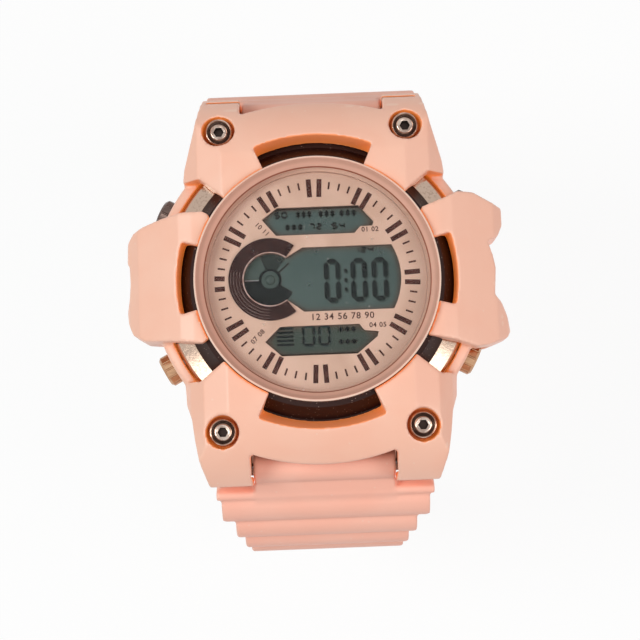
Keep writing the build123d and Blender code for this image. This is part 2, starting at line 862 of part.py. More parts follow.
# Under the board: chip, timing crystal, and the holder with the coin cell
chip_x = 4.5
chip_y = 3.5
chip_radius = 3.0
chip_height = 0.9
chip_round_share = 0.7
can_radius = 0.6
can_length = 5.0
can_y = -6.0
cell_radius = 10.0
cell_can_share = 0.75
cell_lid_share = 0.9
cell_clearance = 0.15
chamber_margin = 1.4
clip_thickness = 0.25
clip_half_width = 2.6
clip_inset = 2.7
switch_slot_half = 2.2
switch_leaf_inset = 1.8
switch_leaf_thickness = 0.25
switch_leaf_half = 1.7
switch_leaf_drop = 1.4
buzzer_spring_inset = 2.1
buzzer_spring_radius = 0.8

chamber_radius = cell_radius + chamber_margin
clip_reach = module_radius - clip_inset
switch_leaf_radius = module_radius - switch_leaf_inset
switch_leaf_bottom = button_height - switch_leaf_drop
buzzer_spring_y = buzzer_spring_inset - module_radius

with BuildPart() as chip_cover:
    with BuildSketch(Plane.XY.offset(board_bottom - chip_height)):
        with Locations((chip_x, chip_y)):
            Circle(chip_radius)
    extrude(amount=chip_height)
    fillet(chip_cover.edges().group_by(Axis.Z)[0], radius=chip_height * chip_round_share)
chip_cover.part.label = "chip_cover"
export_step(chip_cover.part, "parts/chip_cover.step")

with BuildPart() as timing_crystal:
    with BuildSketch(Plane.YZ.offset(-can_length / 2)):
        with Locations((can_y, board_bottom - can_radius - running_fit)):
            Circle(can_radius)
    extrude(amount=can_length)
timing_crystal.part.label = "timing_crystal"
export_step(timing_crystal.part, "parts/timing_crystal.step")

with BuildPart() as battery_holder:
    with BuildSketch(Plane.XY.offset(holder_bottom)):
        Circle(module_radius)
    extrude(amount=board_bottom - holder_bottom)
    with BuildSketch(Plane.XY.offset(holder_bottom)):
        Circle(cell_radius + cell_clearance)
        Rectangle(2 * (clip_reach + slip_fit), 2 * (clip_half_width + slip_fit))
    extrude(amount=web_bottom - holder_bottom, mode=Mode.SUBTRACT)
    with BuildSketch(Plane.XY.offset(web_bottom + web_thickness)):
        Circle(chamber_radius)
    extrude(amount=board_bottom - web_bottom - web_thickness, mode=Mode.SUBTRACT)
    with BuildSketch(Plane.XY.offset(holder_bottom)):
        Circle(cell_radius / 3)
        for side in (1, -1):
            with Locations((side * (clip_reach - clip_thickness), 0)):
                Rectangle(2 * (clip_thickness + slip_fit), 2 * (clip_half_width + slip_fit))
        with Locations((0, buzzer_spring_y)):
            Circle(buzzer_spring_radius + slip_fit)
    extrude(amount=board_bottom - holder_bottom, mode=Mode.SUBTRACT)
    slot_depth = module_radius - switch_leaf_radius + 2 * slip_fit
    for angle in button_angles.values():
        with BuildSketch(Plane.XY.offset(holder_bottom)):
            slot_middle = around(module_radius - slot_depth / 2 + slip_fit, angle)
            with Locations(Location((*slot_middle, 0), (0, 0, -angle))):
                Rectangle(2 * switch_slot_half, slot_depth + slip_fit)
        extrude(amount=board_bottom - holder_bottom, mode=Mode.SUBTRACT)
battery_holder.part.label = "battery_holder"
export_step(battery_holder.part, "parts/battery_holder.step")

with BuildPart() as coin_cell:
    with BuildSketch(Plane.XY.offset(cell_bottom)):
        Circle(cell_radius)
    extrude(amount=cell_thickness * cell_can_share)
    with BuildSketch(Plane.XY.offset(cell_bottom + cell_thickness * cell_can_share)):
        Circle(cell_radius * cell_lid_share)
    extrude(amount=cell_thickness * (1 - cell_can_share))
    fillet(coin_cell.edges().group_by(Axis.Z)[0], radius=cell_thickness / 8)
coin_cell.part.label = "coin_cell"
export_step(coin_cell.part, "parts/coin_cell.step")

clip_bottom = cell_bottom - clip_thickness - running_fit
with BuildPart() as battery_clip:
    with BuildSketch(Plane.XY.offset(clip_bottom)):
        Rectangle(2 * clip_reach, 2 * clip_half_width)
        Circle(clip_half_width / 3, mode=Mode.SUBTRACT)
    extrude(amount=clip_thickness)
    for side in (1, -1):
        with BuildSketch(Plane.XY.offset(clip_bottom)):
            with Locations((side * (clip_reach - clip_thickness / 2), 0)):
                Rectangle(clip_thickness, 2 * clip_half_width)
        extrude(amount=board_bottom - clip_bottom)
battery_clip.part.label = "battery_clip"
export_step(battery_clip.part, "parts/battery_clip.step")

contact_thickness = 0.2
contact_half_width = 0.9
contact_length = 2.4
with BuildPart() as cell_contact:
    with BuildSketch(Plane.XZ):
        with BuildLine():
            Polyline(
                (-contact_length, board_bottom),
                (-contact_length / 3, board_bottom),
                (contact_length / 2, cell_top + contact_thickness),
                (contact_length, cell_top + contact_thickness),
                (contact_length, cell_top),
                (contact_length / 2 - contact_thickness, cell_top),
                (-contact_length / 3 - contact_thickness, board_bottom - contact_thickness),
                (-contact_length, board_bottom - contact_thickness),
                close=True,
            )
        make_face()
    extrude(amount=contact_half_width, both=True)
cell_contact.part.label = "cell_contact"
export_step(cell_contact.part, "parts/cell_contact.step")

with BuildPart() as switch_leaves:
    for angle in button_angles.values():
        with BuildSketch(Plane.XY.offset(switch_leaf_bottom)):
            leaf_middle = around(switch_leaf_radius + switch_leaf_thickness / 2, angle)
            with Locations(Location((*leaf_middle, 0), (0, 0, -angle))):
                Rectangle(2 * switch_leaf_half, switch_leaf_thickness)
        extrude(amount=board_bottom - switch_leaf_bottom)
switch_leaves.part.label = "switch_leaves"
export_step(switch_leaves.part, "parts/switch_leaves.step")

# Buzzer disc on the inside of the case back, and the spring that feeds it
buzzer_inset = 1.4
buzzer_radius = bore_radius - buzzer_inset
with BuildPart() as buzzer_disc:
    with BuildSketch(Plane.XY.offset(buzzer_bottom)):
        Circle(buzzer_radius)
    extrude(amount=buzzer_thickness)
buzzer_disc.part.label = "buzzer_disc"
export_step(buzzer_disc.part, "parts/buzzer_disc.step")

buzzer_spring_wall = 0.25
with BuildPart() as buzzer_spring:
    with BuildSketch(Plane.XY.offset(buzzer_bottom + buzzer_thickness)):
        with Locations((0, buzzer_spring_y)):
            Circle(buzzer_spring_radius)
            Circle(buzzer_spring_radius - buzzer_spring_wall, mode=Mode.SUBTRACT)
    extrude(amount=board_bottom - buzzer_bottom - buzzer_thickness)
buzzer_spring.part.label = "buzzer_spring"
export_step(buzzer_spring.part, "parts/buzzer_spring.step")

# Buttons: cap through the skirt, neck in the well, shaft into the case, ring clip and spring
button_travel = 1.0
button_play = 0.2
button_cap_thickness = 2.2
button_neck_radius = 1.4
button_neck_length = 0.6
button_cap_edge = 0.35
shaft_past = 0.7
clip_ring_inset = 0.6
clip_ring_thickness = 0.4
clip_ring_radius = 1.1
clip_mouth_share = 1.4
clip_seat_depth = 0.15
spring_wall = 0.35
shaft_end = bore_radius - shaft_past
clip_ring_start = bore_radius - clip_ring_inset
cap_inner = case_radius + button_play + button_travel
neck_inner = cap_inner - button_neck_length
grip_groove_width = 0.3
grip_grooves = 12

for place, angle in button_angles.items():
    with BuildPart() as button:
        with BuildSketch(button_plane(angle, cap_inner)):
            Circle(button_cap_radius)
        extrude(amount=button_cap_thickness)
        way = around(1, angle)
        outward = Axis((0, 0, button_height), (way[0], way[1], 0))
        chamfer(button.edges().filter_by(GeomType.CIRCLE).sort_by(outward)[-1], length=button_cap_edge)
        with BuildSketch(button_plane(angle, cap_inner)):
            with PolarLocations(button_cap_radius, grip_grooves):
                Circle(grip_groove_width / 2)
        extrude(amount=button_cap_thickness, mode=Mode.SUBTRACT)
        with BuildSketch(button_plane(angle, neck_inner)):
            Circle(button_neck_radius)
        extrude(amount=button_neck_length)
        with BuildSketch(button_plane(angle, shaft_end)):
            Circle(button_shaft_radius)
        extrude(amount=neck_inner - shaft_end)
        with BuildSketch(button_plane(angle, clip_ring_start)):
            Circle(button_shaft_radius + running_fit)
            Circle(button_shaft_radius - clip_seat_depth, mode=Mode.SUBTRACT)
        extrude(amount=clip_ring_thickness, mode=Mode.SUBTRACT)
    button.part.label = f"button_{place}"
    export_step(button.part, f"parts/button_{place}.step")

    with BuildPart() as button_clip:
        with BuildSketch(button_plane(angle, clip_ring_start + running_fit / 2)):
            Circle(clip_ring_radius)
            Circle(button_shaft_radius - clip_seat_depth + running_fit / 2, mode=Mode.SUBTRACT)
            with Locations((clip_ring_radius, 0)):
                Rectangle(2 * clip_ring_radius, clip_mouth_share * button_shaft_radius, mode=Mode.SUBTRACT)
        extrude(amount=clip_ring_thickness - running_fit)
    button_clip.part.label = f"button_clip_{place}"
    export_step(button_clip.part, f"parts/button_clip_{place}.step")

    with BuildPart() as button_spring:
        with BuildSketch(button_plane(angle, button_well_floor + running_fit)):
            Circle(button_neck_radius)
            Circle(button_neck_radius - spring_wall, mode=Mode.SUBTRACT)
        extrude(amount=neck_inner - button_well_floor - 2 * running_fit)
    button_spring.part.label = f"button_spring_{place}"
    export_step(button_spring.part, f"parts/button_spring_{place}.step")

with BuildPart() as button_seals:
    for angle in button_angles.values():
        with BuildSketch(button_plane(angle, button_seal_start)):
            Circle(button_seal_radius)
            Circle(button_shaft_radius + running_fit, mode=Mode.SUBTRACT)
        extrude(amount=button_seal_length)
button_seals.part.label = "button_seals"
export_step(button_seals.part, "parts/button_seals.step")

# Spring bars: a tube in the strap's end, a sliding tip each side and the spring between them
bar_radius = 0.75
bar_bore_radius = 0.5
bar_end_inset = 0.6
bar_tip_hold = 3.2
bar_tip_travel = 1.7
bar_spring_gap = 0.1
strap_side_gap = 0.1

bar_half_length = horn_inside - bar_end_inset
bar_tip_inside = bar_half_length - bar_tip_hold
bar_tip_outside = horn_inside + bar_hole_depth - bar_tip_travel / 10

for name, end in (("upper", 1), ("lower", -1)):
    with BuildPart() as spring_bar:
        with BuildSketch(Plane.YZ.offset(-bar_half_length)):
            with Locations((end * bar_reach, bar_height)):
                Circle(bar_radius)
                Circle(bar_bore_radius, mode=Mode.SUBTRACT)
        extrude(amount=2 * bar_half_length)
    spring_bar.part.label = f"spring_bar_{name}"
    export_step(spring_bar.part, f"parts/spring_bar_{name}.step")

    for hand, side in (("right", 1), ("left", -1)):
        with BuildPart() as bar_tip:
            with BuildSketch(Plane.YZ.offset(side * bar_tip_inside)):
                with Locations((end * bar_reach, bar_height)):
                    Circle(bar_tip_radius)
            extrude(amount=side * (bar_tip_outside - bar_tip_inside))
        bar_tip.part.label = f"bar_tip_{name}_{hand}"
        export_step(bar_tip.part, f"parts/bar_tip_{name}_{hand}.step")

with BuildPart() as bar_springs:
    for end in (1, -1):
        spring_half = bar_tip_inside - bar_tip_travel - bar_spring_gap
        with BuildSketch(Plane.YZ.offset(-spring_half)):
            with Locations((end * bar_reach, bar_height)):
                Circle(bar_tip_radius)
                Circle(bar_tip_radius / 2, mode=Mode.SUBTRACT)
        extrude(amount=2 * spring_half)
bar_springs.part.label = "bar_springs"
export_step(bar_springs.part, "parts/bar_springs.step")

# Strap halves. Each follows a chain of arcs seen from the side: (length, turn in degrees),
# starting at its spring bar. Headings count down from straight outwards.
strap_inside = 1.3
strap_outside = 1.1
rib_valley = 0.7
rib_crest = 1.7
thin_rib_share = 0.5
straight_angle = 0.0001
tongue_length_upper = 3.65
tongue_length_lower = 4.05
barrel_radius = 2.4
rib_length = 4.9
thin_rib = 1.4
band_half_width = 11.0
upper_start_angle = 40.0
lower_start_angle = 32.0
upper_drop = 9.0
upper_run = 29.3
upper_turn_in = 14.0
lower_drop = 22.2
lower_run = 41.5
lower_turn_in = 18.0
lower_flat = 33.4
lower_tail = 10.0
upper_legs = [
    (upper_drop, 50.0),
    (upper_run, 30.0),
    (upper_turn_in, 40.0),
]
lower_legs = [
    (lower_drop, 52.0),
    (lower_run, 51.0),
    (lower_turn_in, 45.0),
    (lower_flat, 0.0),
    (lower_tail, 12.0),
]
tongue_half_width = horn_inside - strap_side_gap
# Half widths of the ribs, as shares of the band's half width
upper_rib_shares = [1.48, 1.45, 1.33, 1.22, 1.12, 1.04]
lower_rib_shares = [1.46, 1.40, 1.24, 1.14, 1.08, 1.04, 1.02]


def path_place(heading, legs, length, out):
    """Reach, height and heading at this length along the strap, this far outside its middle line."""
    reach = bar_reach
    height = bar_height
    turned = radians(heading)
    for leg, turn in legs:
        step = min(length, leg)
        if turn == 0:
            reach += step * cos(turned)
            height -= step * sin(turned)
            ahead = turned
        else:
            radius = leg / radians(turn)
            ahead = turned + step / radius
            reach += radius * (sin(ahead) - sin(turned))
            height += radius * (cos(ahead) - cos(turned))
        turned = ahead
        length -= step
        if length <= 0:
            break
    return (reach + out * sin(turned), height + out * cos(turned), turned)


def strap_block(end, heading, legs, start, stop, inside, valley, crest, half_width):
    """One length of the strap, from side to side, with a rounded or a flat outer face."""
    middle = (start + stop) / 2

    def corner(length, out):
        reach, height, turned = path_place(heading, legs, length, out)
        return (end * reach, height)

    with BuildSketch(Plane.YZ) as profile:
        with BuildLine():
            bend = path_place(heading, legs, stop, 0)[2] - path_place(heading, legs, start, 0)[2]
            straight = bend < straight_angle
            if straight:
                Line(corner(start, -inside), corner(stop, -inside))
            else:
                ThreePointArc(corner(start, -inside), corner(middle, -inside), corner(stop, -inside))
            Line(corner(stop, -inside), corner(stop, valley))
            if straight and crest == valley:
                Line(corner(stop, valley), corner(start, valley))
            else:
                ThreePointArc(corner(stop, valley), corner(middle, crest), corner(start, valley))
            Line(corner(start, valley), corner(start, -inside))
        make_face()
    extrude(profile.sketch, amount=half_width, both=True)


def strap_tongue(end, heading, legs, length):
    """The narrow end between the horns, with its barrel round the spring bar."""
    with BuildSketch(Plane.YZ) as barrel:
        with Locations((end * bar_reach, bar_height)):
            Circle(barrel_radius)
    extrude(barrel.sketch, amount=tongue_half_width, both=True)
    strap_block(end, heading, legs, 0, length + rib_length / 2, strap_inside, strap_outside, strap_outside,
                tongue_half_width)


def bar_hole(end, radius):
    """The hole for the spring bar, right across the tongue."""
    with BuildSketch(Plane.YZ) as hole:
        with Locations((end * bar_reach, bar_height)):
            Circle(radius)
    extrude(hole.sketch, amount=tongue_half_width + cut_over, both=True, mode=Mode.SUBTRACT)


def leg_stations(legs, start, stop):
    """Lengths at which the strap's curve changes, between start and stop, with both ends."""
    stations = [start]
    total = 0
    for leg, turn in legs:
        total += leg
        if start + cut_over < total < stop - cut_over:
            stations.append(total)
    return stations + [stop]


# Short half, at 12 o'clock: ribs, a smooth run for the keeper, and the end that holds the buckle pin
upper_length = sum(leg for leg, turn in upper_legs)
pin_radius = 0.75
pin_barrel_radius = 1.9
prong_slot_half = 1.6
prong_slot_length = 6.0

with BuildPart() as strap_upper:
    strap_tongue(1, upper_start_angle, upper_legs, tongue_length_upper)
    station = tongue_length_upper
    for number, share in enumerate(upper_rib_shares):
        pitch = thin_rib if number == 0 else rib_length
        top = rib_valley + (rib_crest - rib_valley) * (thin_rib_share if number == 0 else 1)
        strap_block(1, upper_start_angle, upper_legs, station, station + pitch,
                    strap_inside, rib_valley, top, band_half_width * share)
        station += pitch
    stations = leg_stations(upper_legs, station, upper_length)
    for start, stop in zip(stations[:-1], stations[1:]):
        strap_block(1, upper_start_angle, upper_legs, start, stop,
                    strap_inside, strap_outside, strap_outside, band_half_width)
    pin_reach, pin_height, pin_heading = path_place(upper_start_angle, upper_legs, upper_length, 0)
    with BuildSketch(Plane.YZ):
        with Locations((pin_reach, pin_height)):
            Circle(pin_barrel_radius)
    extrude(amount=band_half_width, both=True)
    with BuildSketch(Plane.YZ):
        with Locations((pin_reach, pin_height)):
            Circle(pin_radius + running_fit)
    extrude(amount=band_half_width + cut_over, both=True, mode=Mode.SUBTRACT)
    slot_plane = Plane(
        origin=(0, pin_reach, pin_height),
        x_dir=(1, 0, 0),
        z_dir=(0, sin(pin_heading), cos(pin_heading)),
    )
    with BuildSketch(slot_plane):
        Rectangle(2 * prong_slot_half, prong_slot_length)
    extrude(amount=pin_barrel_radius + cut_over, both=True, mode=Mode.SUBTRACT)
    bar_hole(1, bar_radius + running_fit)
strap_upper.part.label = "strap_upper"
export_step(strap_upper.part, "parts/strap_upper.step")

# Long half, at 6 o'clock: ribs, then a smooth band with adjustment holes and a rounded tail
lower_length = sum(leg for leg, turn in lower_legs)
hole_count = 10
hole_spacing = 6.4
hole_radius = 1.15
last_hole_margin = 9.0
tail_radius = 7.0

with BuildPart() as strap_lower:
    strap_tongue(-1, lower_start_angle, lower_legs, tongue_length_lower)
    station = tongue_length_lower
    for number, share in enumerate(lower_rib_shares):
        pitch = thin_rib if number == 0 else rib_length
        top = rib_valley + (rib_crest - rib_valley) * (thin_rib_share if number == 0 else 1)
        strap_block(-1, lower_start_angle, lower_legs, station, station + pitch,
                    strap_inside, rib_valley, top, band_half_width * share)
        station += pitch
    stations = leg_stations(lower_legs, station, lower_length)
    for start, stop in zip(stations[:-1], stations[1:]):
        strap_block(-1, lower_start_angle, lower_legs, start, stop,
                    strap_inside, strap_outside, strap_outside, band_half_width)
    tail_reach = -path_place(lower_start_angle, lower_legs, lower_length, 0)[0]
    beside = strap_lower.edges().filter_by_position(Axis.Y, tail_reach - cut_over, tail_reach + cut_over)
    tail_edges = beside.filter_by(Axis.X, reverse=True)
    fillet(tail_edges, radius=tail_radius)
    for number in range(hole_count):
        length = lower_length - last_hole_margin - number * hole_spacing
        reach, height, turned = path_place(lower_start_angle, lower_legs, length, 0)
        outward = (0, -sin(turned), cos(turned))
        with BuildSketch(Plane(origin=(0, -reach, height), x_dir=(1, 0, 0), z_dir=outward)):
            Circle(hole_radius)
        extrude(amount=strap_inside + strap_outside, both=True, mode=Mode.SUBTRACT)
    bar_hole(-1, bar_radius + running_fit)
strap_lower.part.label = "strap_lower"
export_step(strap_lower.part, "parts/strap_lower.step")

# Keeper loop, round the smooth run of the short half, with room outside it for the long half's tail
keeper_start = tongue_length_upper + thin_rib + rib_length * (len(upper_rib_shares) - 1) + 2 * running_fit
keeper_length = 4.6
keeper_wall = 1.4
keeper_gap = 0.25

keeper_stop = keeper_start + keeper_length
keeper_inside = strap_inside + keeper_gap
keeper_outside = 2 * (strap_outside + keeper_gap) + strap_inside
keeper_half_width = band_half_width + keeper_gap

with BuildPart() as keeper_opening:
    strap_block(1, upper_start_angle, upper_legs, keeper_start - cut_over, keeper_stop + cut_over,
                keeper_inside, keeper_outside, keeper_outside, keeper_half_width)

with BuildPart() as strap_keeper:
    strap_block(1, upper_start_angle, upper_legs, keeper_start, keeper_stop,
                keeper_inside + keeper_wall, keeper_outside + keeper_wall, keeper_outside + keeper_wall,
                keeper_half_width + keeper_wall)
    add(keeper_opening.part, mode=Mode.SUBTRACT)
strap_keeper.part.label = "strap_keeper"
export_step(strap_keeper.part, "parts/strap_keeper.step")

# Buckle: a U-shaped frame and a prong, both on the pin through the end of the short half
frame_gap = 0.3
frame_arm = 2.0
frame_thickness = 2.2
frame_reach = 14.6
frame_bar = 2.0
frame_heel = 1.6
frame_corner = 2.4
frame_edge = 0.45
pin_tip_radius = 0.45
prong_half_width = 1.2
prong_eye_radius = 1.5
prong_root_height = 1.45
prong_tip_inset = 0.5
prong_tip_height = 2.15
prong_lift = 0.1

frame_half_inside = band_half_width + frame_gap
frame_half_outside = frame_half_inside + frame_arm
prong_tip_reach = frame_reach - prong_tip_inset

with BuildPart() as buckle_frame:
    with BuildSketch(slot_plane.offset(-frame_thickness / 2)):
        with Locations((0, (frame_reach - frame_heel) / 2)):
            Rectangle(2 * frame_half_outside, frame_reach + frame_heel)
        with Locations((0, (frame_reach - frame_bar - 2 * frame_heel) / 2)):
            Rectangle(2 * frame_half_inside, frame_reach - frame_bar + 2 * frame_heel, mode=Mode.SUBTRACT)
    extrude(amount=frame_thickness)
    along = Axis((0, pin_reach, pin_height), slot_plane.y_dir)
    corners = buckle_frame.edges().filter_by(Axis((0, 0, 0), slot_plane.z_dir)).group_by(along)
    fillet(corners[-1], radius=frame_corner)
    fillet(corners[0], radius=frame_arm / 3)
    top_edges = buckle_frame.faces().sort_by(Axis((0, pin_reach, pin_height), slot_plane.z_dir))[-1].edges()
    fillet(top_edges, radius=frame_edge)
    with BuildSketch(Plane.YZ):
        with Locations((pin_reach, pin_height)):
            Circle(pin_tip_radius + running_fit)
    extrude(amount=frame_half_outside + cut_over, both=True, mode=Mode.SUBTRACT)
buckle_frame.part.label = "buckle_frame"
export_step(buckle_frame.part, "parts/buckle_frame.step")

with BuildPart() as buckle_pin:
    with BuildSketch(Plane.YZ):
        with Locations((pin_reach, pin_height)):
            Circle(pin_radius)
    extrude(amount=band_half_width, both=True)
    with BuildSketch(Plane.YZ):
        with Locations((pin_reach, pin_height)):
            Circle(pin_tip_radius)
    extrude(amount=frame_half_outside - frame_gap, both=True)
buckle_pin.part.label = "buckle_pin"
export_step(buckle_pin.part, "parts/buckle_pin.step")

prong_plane = Plane(origin=(0, pin_reach, pin_height), x_dir=slot_plane.y_dir, z_dir=(1, 0, 0))
with BuildPart() as buckle_prong:
    with BuildSketch(prong_plane):
        Circle(prong_eye_radius)
        with BuildLine():
            Polyline(
                (0, 0),
                (prong_eye_radius, frame_thickness / 4),
                (prong_tip_reach, frame_thickness / 2 + 2 * prong_lift),
                (prong_tip_reach + prong_lift, prong_tip_height - 2 * prong_lift),
                (prong_tip_reach - prong_lift, prong_tip_height),
                (0, prong_root_height),
                close=True,
            )
        make_face()
        Circle(pin_radius + running_fit, mode=Mode.SUBTRACT)
    extrude(amount=prong_half_width, both=True)
buckle_prong.part.label = "buckle_prong"
export_step(buckle_prong.part, "parts/buckle_prong.step")

# Lengths that the joints' axes follow
print("spring bars at", bar_reach, bar_height)
print("buckle pin at", pin_reach, pin_height, "heading", degrees(pin_heading))
keeper_radius = upper_legs[1][0] / radians(upper_legs[1][1])
start_place = path_place(upper_start_angle, upper_legs, upper_legs[0][0], 0)
print("keeper arc centre", start_place[0] - keeper_radius * sin(start_place[2]),
      start_place[1] - keeper_radius * cos(start_place[2]), "radius", keeper_radius)
print("keeper run", upper_legs[0][0] + upper_legs[1][0] - keeper_stop)
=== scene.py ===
# Digital sports watch in peach resin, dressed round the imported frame, with the dial facing up
import math

import bmesh
import bpy
from mathutils import Matrix, Vector


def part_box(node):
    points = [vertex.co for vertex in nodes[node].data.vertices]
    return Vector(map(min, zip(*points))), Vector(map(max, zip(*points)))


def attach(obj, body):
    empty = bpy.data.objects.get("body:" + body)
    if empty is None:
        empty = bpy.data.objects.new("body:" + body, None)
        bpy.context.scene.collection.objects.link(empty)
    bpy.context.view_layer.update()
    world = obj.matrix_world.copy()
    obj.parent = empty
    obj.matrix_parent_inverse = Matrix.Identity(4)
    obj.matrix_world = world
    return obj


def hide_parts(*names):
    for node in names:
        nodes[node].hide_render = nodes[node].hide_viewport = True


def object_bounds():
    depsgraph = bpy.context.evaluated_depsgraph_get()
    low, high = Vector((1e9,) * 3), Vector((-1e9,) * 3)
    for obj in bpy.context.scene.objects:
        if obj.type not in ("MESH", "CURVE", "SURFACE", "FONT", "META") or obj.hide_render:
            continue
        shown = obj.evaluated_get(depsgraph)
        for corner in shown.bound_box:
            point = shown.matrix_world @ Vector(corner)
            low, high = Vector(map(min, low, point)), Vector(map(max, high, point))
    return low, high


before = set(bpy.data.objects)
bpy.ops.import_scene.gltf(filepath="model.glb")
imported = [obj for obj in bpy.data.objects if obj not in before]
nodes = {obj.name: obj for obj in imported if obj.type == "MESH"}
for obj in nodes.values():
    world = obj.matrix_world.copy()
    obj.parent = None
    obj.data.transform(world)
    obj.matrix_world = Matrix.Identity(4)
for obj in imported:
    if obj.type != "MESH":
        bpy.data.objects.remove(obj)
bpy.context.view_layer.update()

mm = 0.001  # values below are in millimetres and degrees, Blender's own are in metres

collection = bpy.context.scene.collection
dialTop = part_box("dial_plate")[1].z / mm
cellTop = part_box("display_panel")[1].z / mm
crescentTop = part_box("dial_crescent")[1].z / mm
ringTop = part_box("bezel_ring")[1].z / mm
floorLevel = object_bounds()[0].z / mm


# Helpers for node trees

def addNode(tree, kind, inputs=None, **settings):
    node = tree.nodes.new(kind)
    for name, value in settings.items():
        setattr(node, name, value)
    feed(tree, node, inputs or {})
    return node


def feed(tree, node, inputs):
    for name, value in inputs.items():
        socket = node.inputs[name]
        if isinstance(value, bpy.types.NodeSocket):
            tree.links.new(value, socket)
        elif socket.type == "RGBA" and len(value) == 3:
            socket.default_value = (*value, 1.0)
        else:
            socket.default_value = value


def calc(tree, operation, first, second=0.0):
    inputs = {0: first, 1: second}
    return addNode(tree, "ShaderNodeMath", inputs, operation=operation).outputs[0]


def times(tree, first, second):
    return calc(tree, "MULTIPLY", first, second)


def plus(tree, first, second):
    return calc(tree, "ADD", first, second)


def larger(tree, first, second):
    return calc(tree, "MAXIMUM", first, second)


def fade(tree, value, low, high, toLow=0.0, toHigh=1.0):
    span = {"Value": value, "From Min": low, "From Max": high, "To Min": toLow, "To Max": toHigh}
    return addNode(tree, "ShaderNodeMapRange", span, interpolation_type="SMOOTHSTEP").outputs[0]


def mixColor(tree, share, first, second):
    inputs = {0: share, 6: first, 7: second}  # 6 and 7 are the colour sockets
    return addNode(tree, "ShaderNodeMix", inputs, data_type="RGBA", blend_type="MIX").outputs[2]


def tinted(tree, color, mask, share, tint):
    return mixColor(tree, times(tree, mask, share), color, tint)


def uneven(tree, height, v):
    return plus(tree, times(tree, height, v["unevenness"]), v["smoothest"])


def noise(tree, where, scale, detail=3.0, distortion=0.0):
    inputs = {"Vector": where, "Scale": scale, "Detail": detail, "Distortion": distortion}
    return addNode(tree, "ShaderNodeTexNoise", inputs).outputs["Fac"]


def millimetres(tree):
    where = addNode(tree, "ShaderNodeTexCoord").outputs["Object"]
    inputs = {0: where, "Scale": 1 / mm}
    return addNode(tree, "ShaderNodeVectorMath", inputs, operation="SCALE").outputs[0]


def axes(tree, vector):
    return addNode(tree, "ShaderNodeSeparateXYZ", {0: vector}).outputs


def spread(tree, x, y):
    return calc(tree, "SQRT", plus(tree, times(tree, x, x), times(tree, y, y)))


def facing(tree):
    return axes(tree, addNode(tree, "ShaderNodeTexCoord").outputs["Normal"])


def bump(tree, height, depth):
    inputs = {"Height": height, "Distance": depth * mm}
    return addNode(tree, "ShaderNodeBump", inputs).outputs[0]


# Effects that several finishes share, each a group that puts out masks and heights

effectValues = {
    "mouldGrain": {
        "size": 0.25, "patch": 6.0, "fineDetail": 4.0, "patchDetail": 3.0, "patchBend": 0.4,
        "patchSpan": (0.36, 0.64),
    },
    "edgeRub": {
        "patch": 2.0, "edgeSpan": (0.51, 0.6), "creaseShadeSpan": (0.41, 0.49), "wornSpan": (0.3, 0.6),
        "leastWorn": 0.4,
    },
    "deepShade": {"reach": 2.0, "rays": 8, "openSpan": (0.15, 0.9)},
    "specks": {"size": 0.4, "share": 0.1, "dotSpan": (0.1, 0.24)},
    "turnedRings": {"width": 0.08, "detail": 2.0, "sheenScale": 0.12},
    "drawnLines": {"fineness": (0.3, 9.0, 9.0), "sheenScale": 0.2, "sheenDetail": 2.0},
}


def startGroup(name, inputs, outputs):
    group = bpy.data.node_groups.new(name, "ShaderNodeTree")
    for label, value in inputs.items():
        kind = "NodeSocketVector" if isinstance(value, tuple) else "NodeSocketFloat"
        socket = group.interface.new_socket(label, in_out="INPUT", socket_type=kind)
        socket.default_value = value
    for label in outputs:
        group.interface.new_socket(label, in_out="OUTPUT", socket_type="NodeSocketFloat")
    return group, group.nodes.new("NodeGroupInput").outputs, group.nodes.new("NodeGroupOutput")


def place(tree, group, **inputs):
    node = tree.nodes.new("ShaderNodeGroup")
    node.node_tree = group
    feed(tree, node, inputs)
    return node.outputs


def buildMouldGrain():
    v = effectValues["mouldGrain"]
    group, given, result = startGroup(
        "MouldGrain", {"Size": v["size"], "Patch": v["patch"]}, ["Height", "Patches"])
    where = millimetres(group)
    fine = noise(group, where, calc(group, "DIVIDE", 1.0, given["Size"]), v["fineDetail"])
    scale = calc(group, "DIVIDE", 1.0, given["Patch"])
    broad = noise(group, where, scale, v["patchDetail"], v["patchBend"])
    feed(group, result, {"Height": fine, "Patches": fade(group, broad, *v["patchSpan"])})
    return group


def buildEdgeRubHighlightAndCreaseShade():
    v = effectValues["edgeRub"]
    group, given, result = startGroup("EdgeRubHighlightAndCreaseShade", {"Patch": v["patch"]}, ["Edge", "CreaseShade"])
    # The edge mask is real rubbing and a painted edge highlight; the crease mask is painted shade
    # in hollows
    pointed = addNode(group, "ShaderNodeNewGeometry").outputs["Pointiness"]
    patchy = noise(group, millimetres(group), calc(group, "DIVIDE", 1.0, given["Patch"]))
    worn = fade(group, patchy, *v["wornSpan"], v["leastWorn"], 1.0)
    edge = times(group, fade(group, pointed, *v["edgeSpan"]), worn)
    creaseShade = fade(group, pointed, *v["creaseShadeSpan"], 1.0, 0.0)
    feed(group, result, {"Edge": edge, "CreaseShade": creaseShade})
    return group


def buildDeepShade():
    v = effectValues["deepShade"]
    group, given, result = startGroup("DeepShade", {"Reach": v["reach"]}, ["Deep"])
    inputs = {"Distance": times(group, given["Reach"], mm)}
    sky = addNode(group, "ShaderNodeAmbientOcclusion", inputs, samples=v["rays"]).outputs["AO"]
    feed(group, result, {"Deep": fade(group, sky, *v["openSpan"], 1.0, 0.0)})
    return group


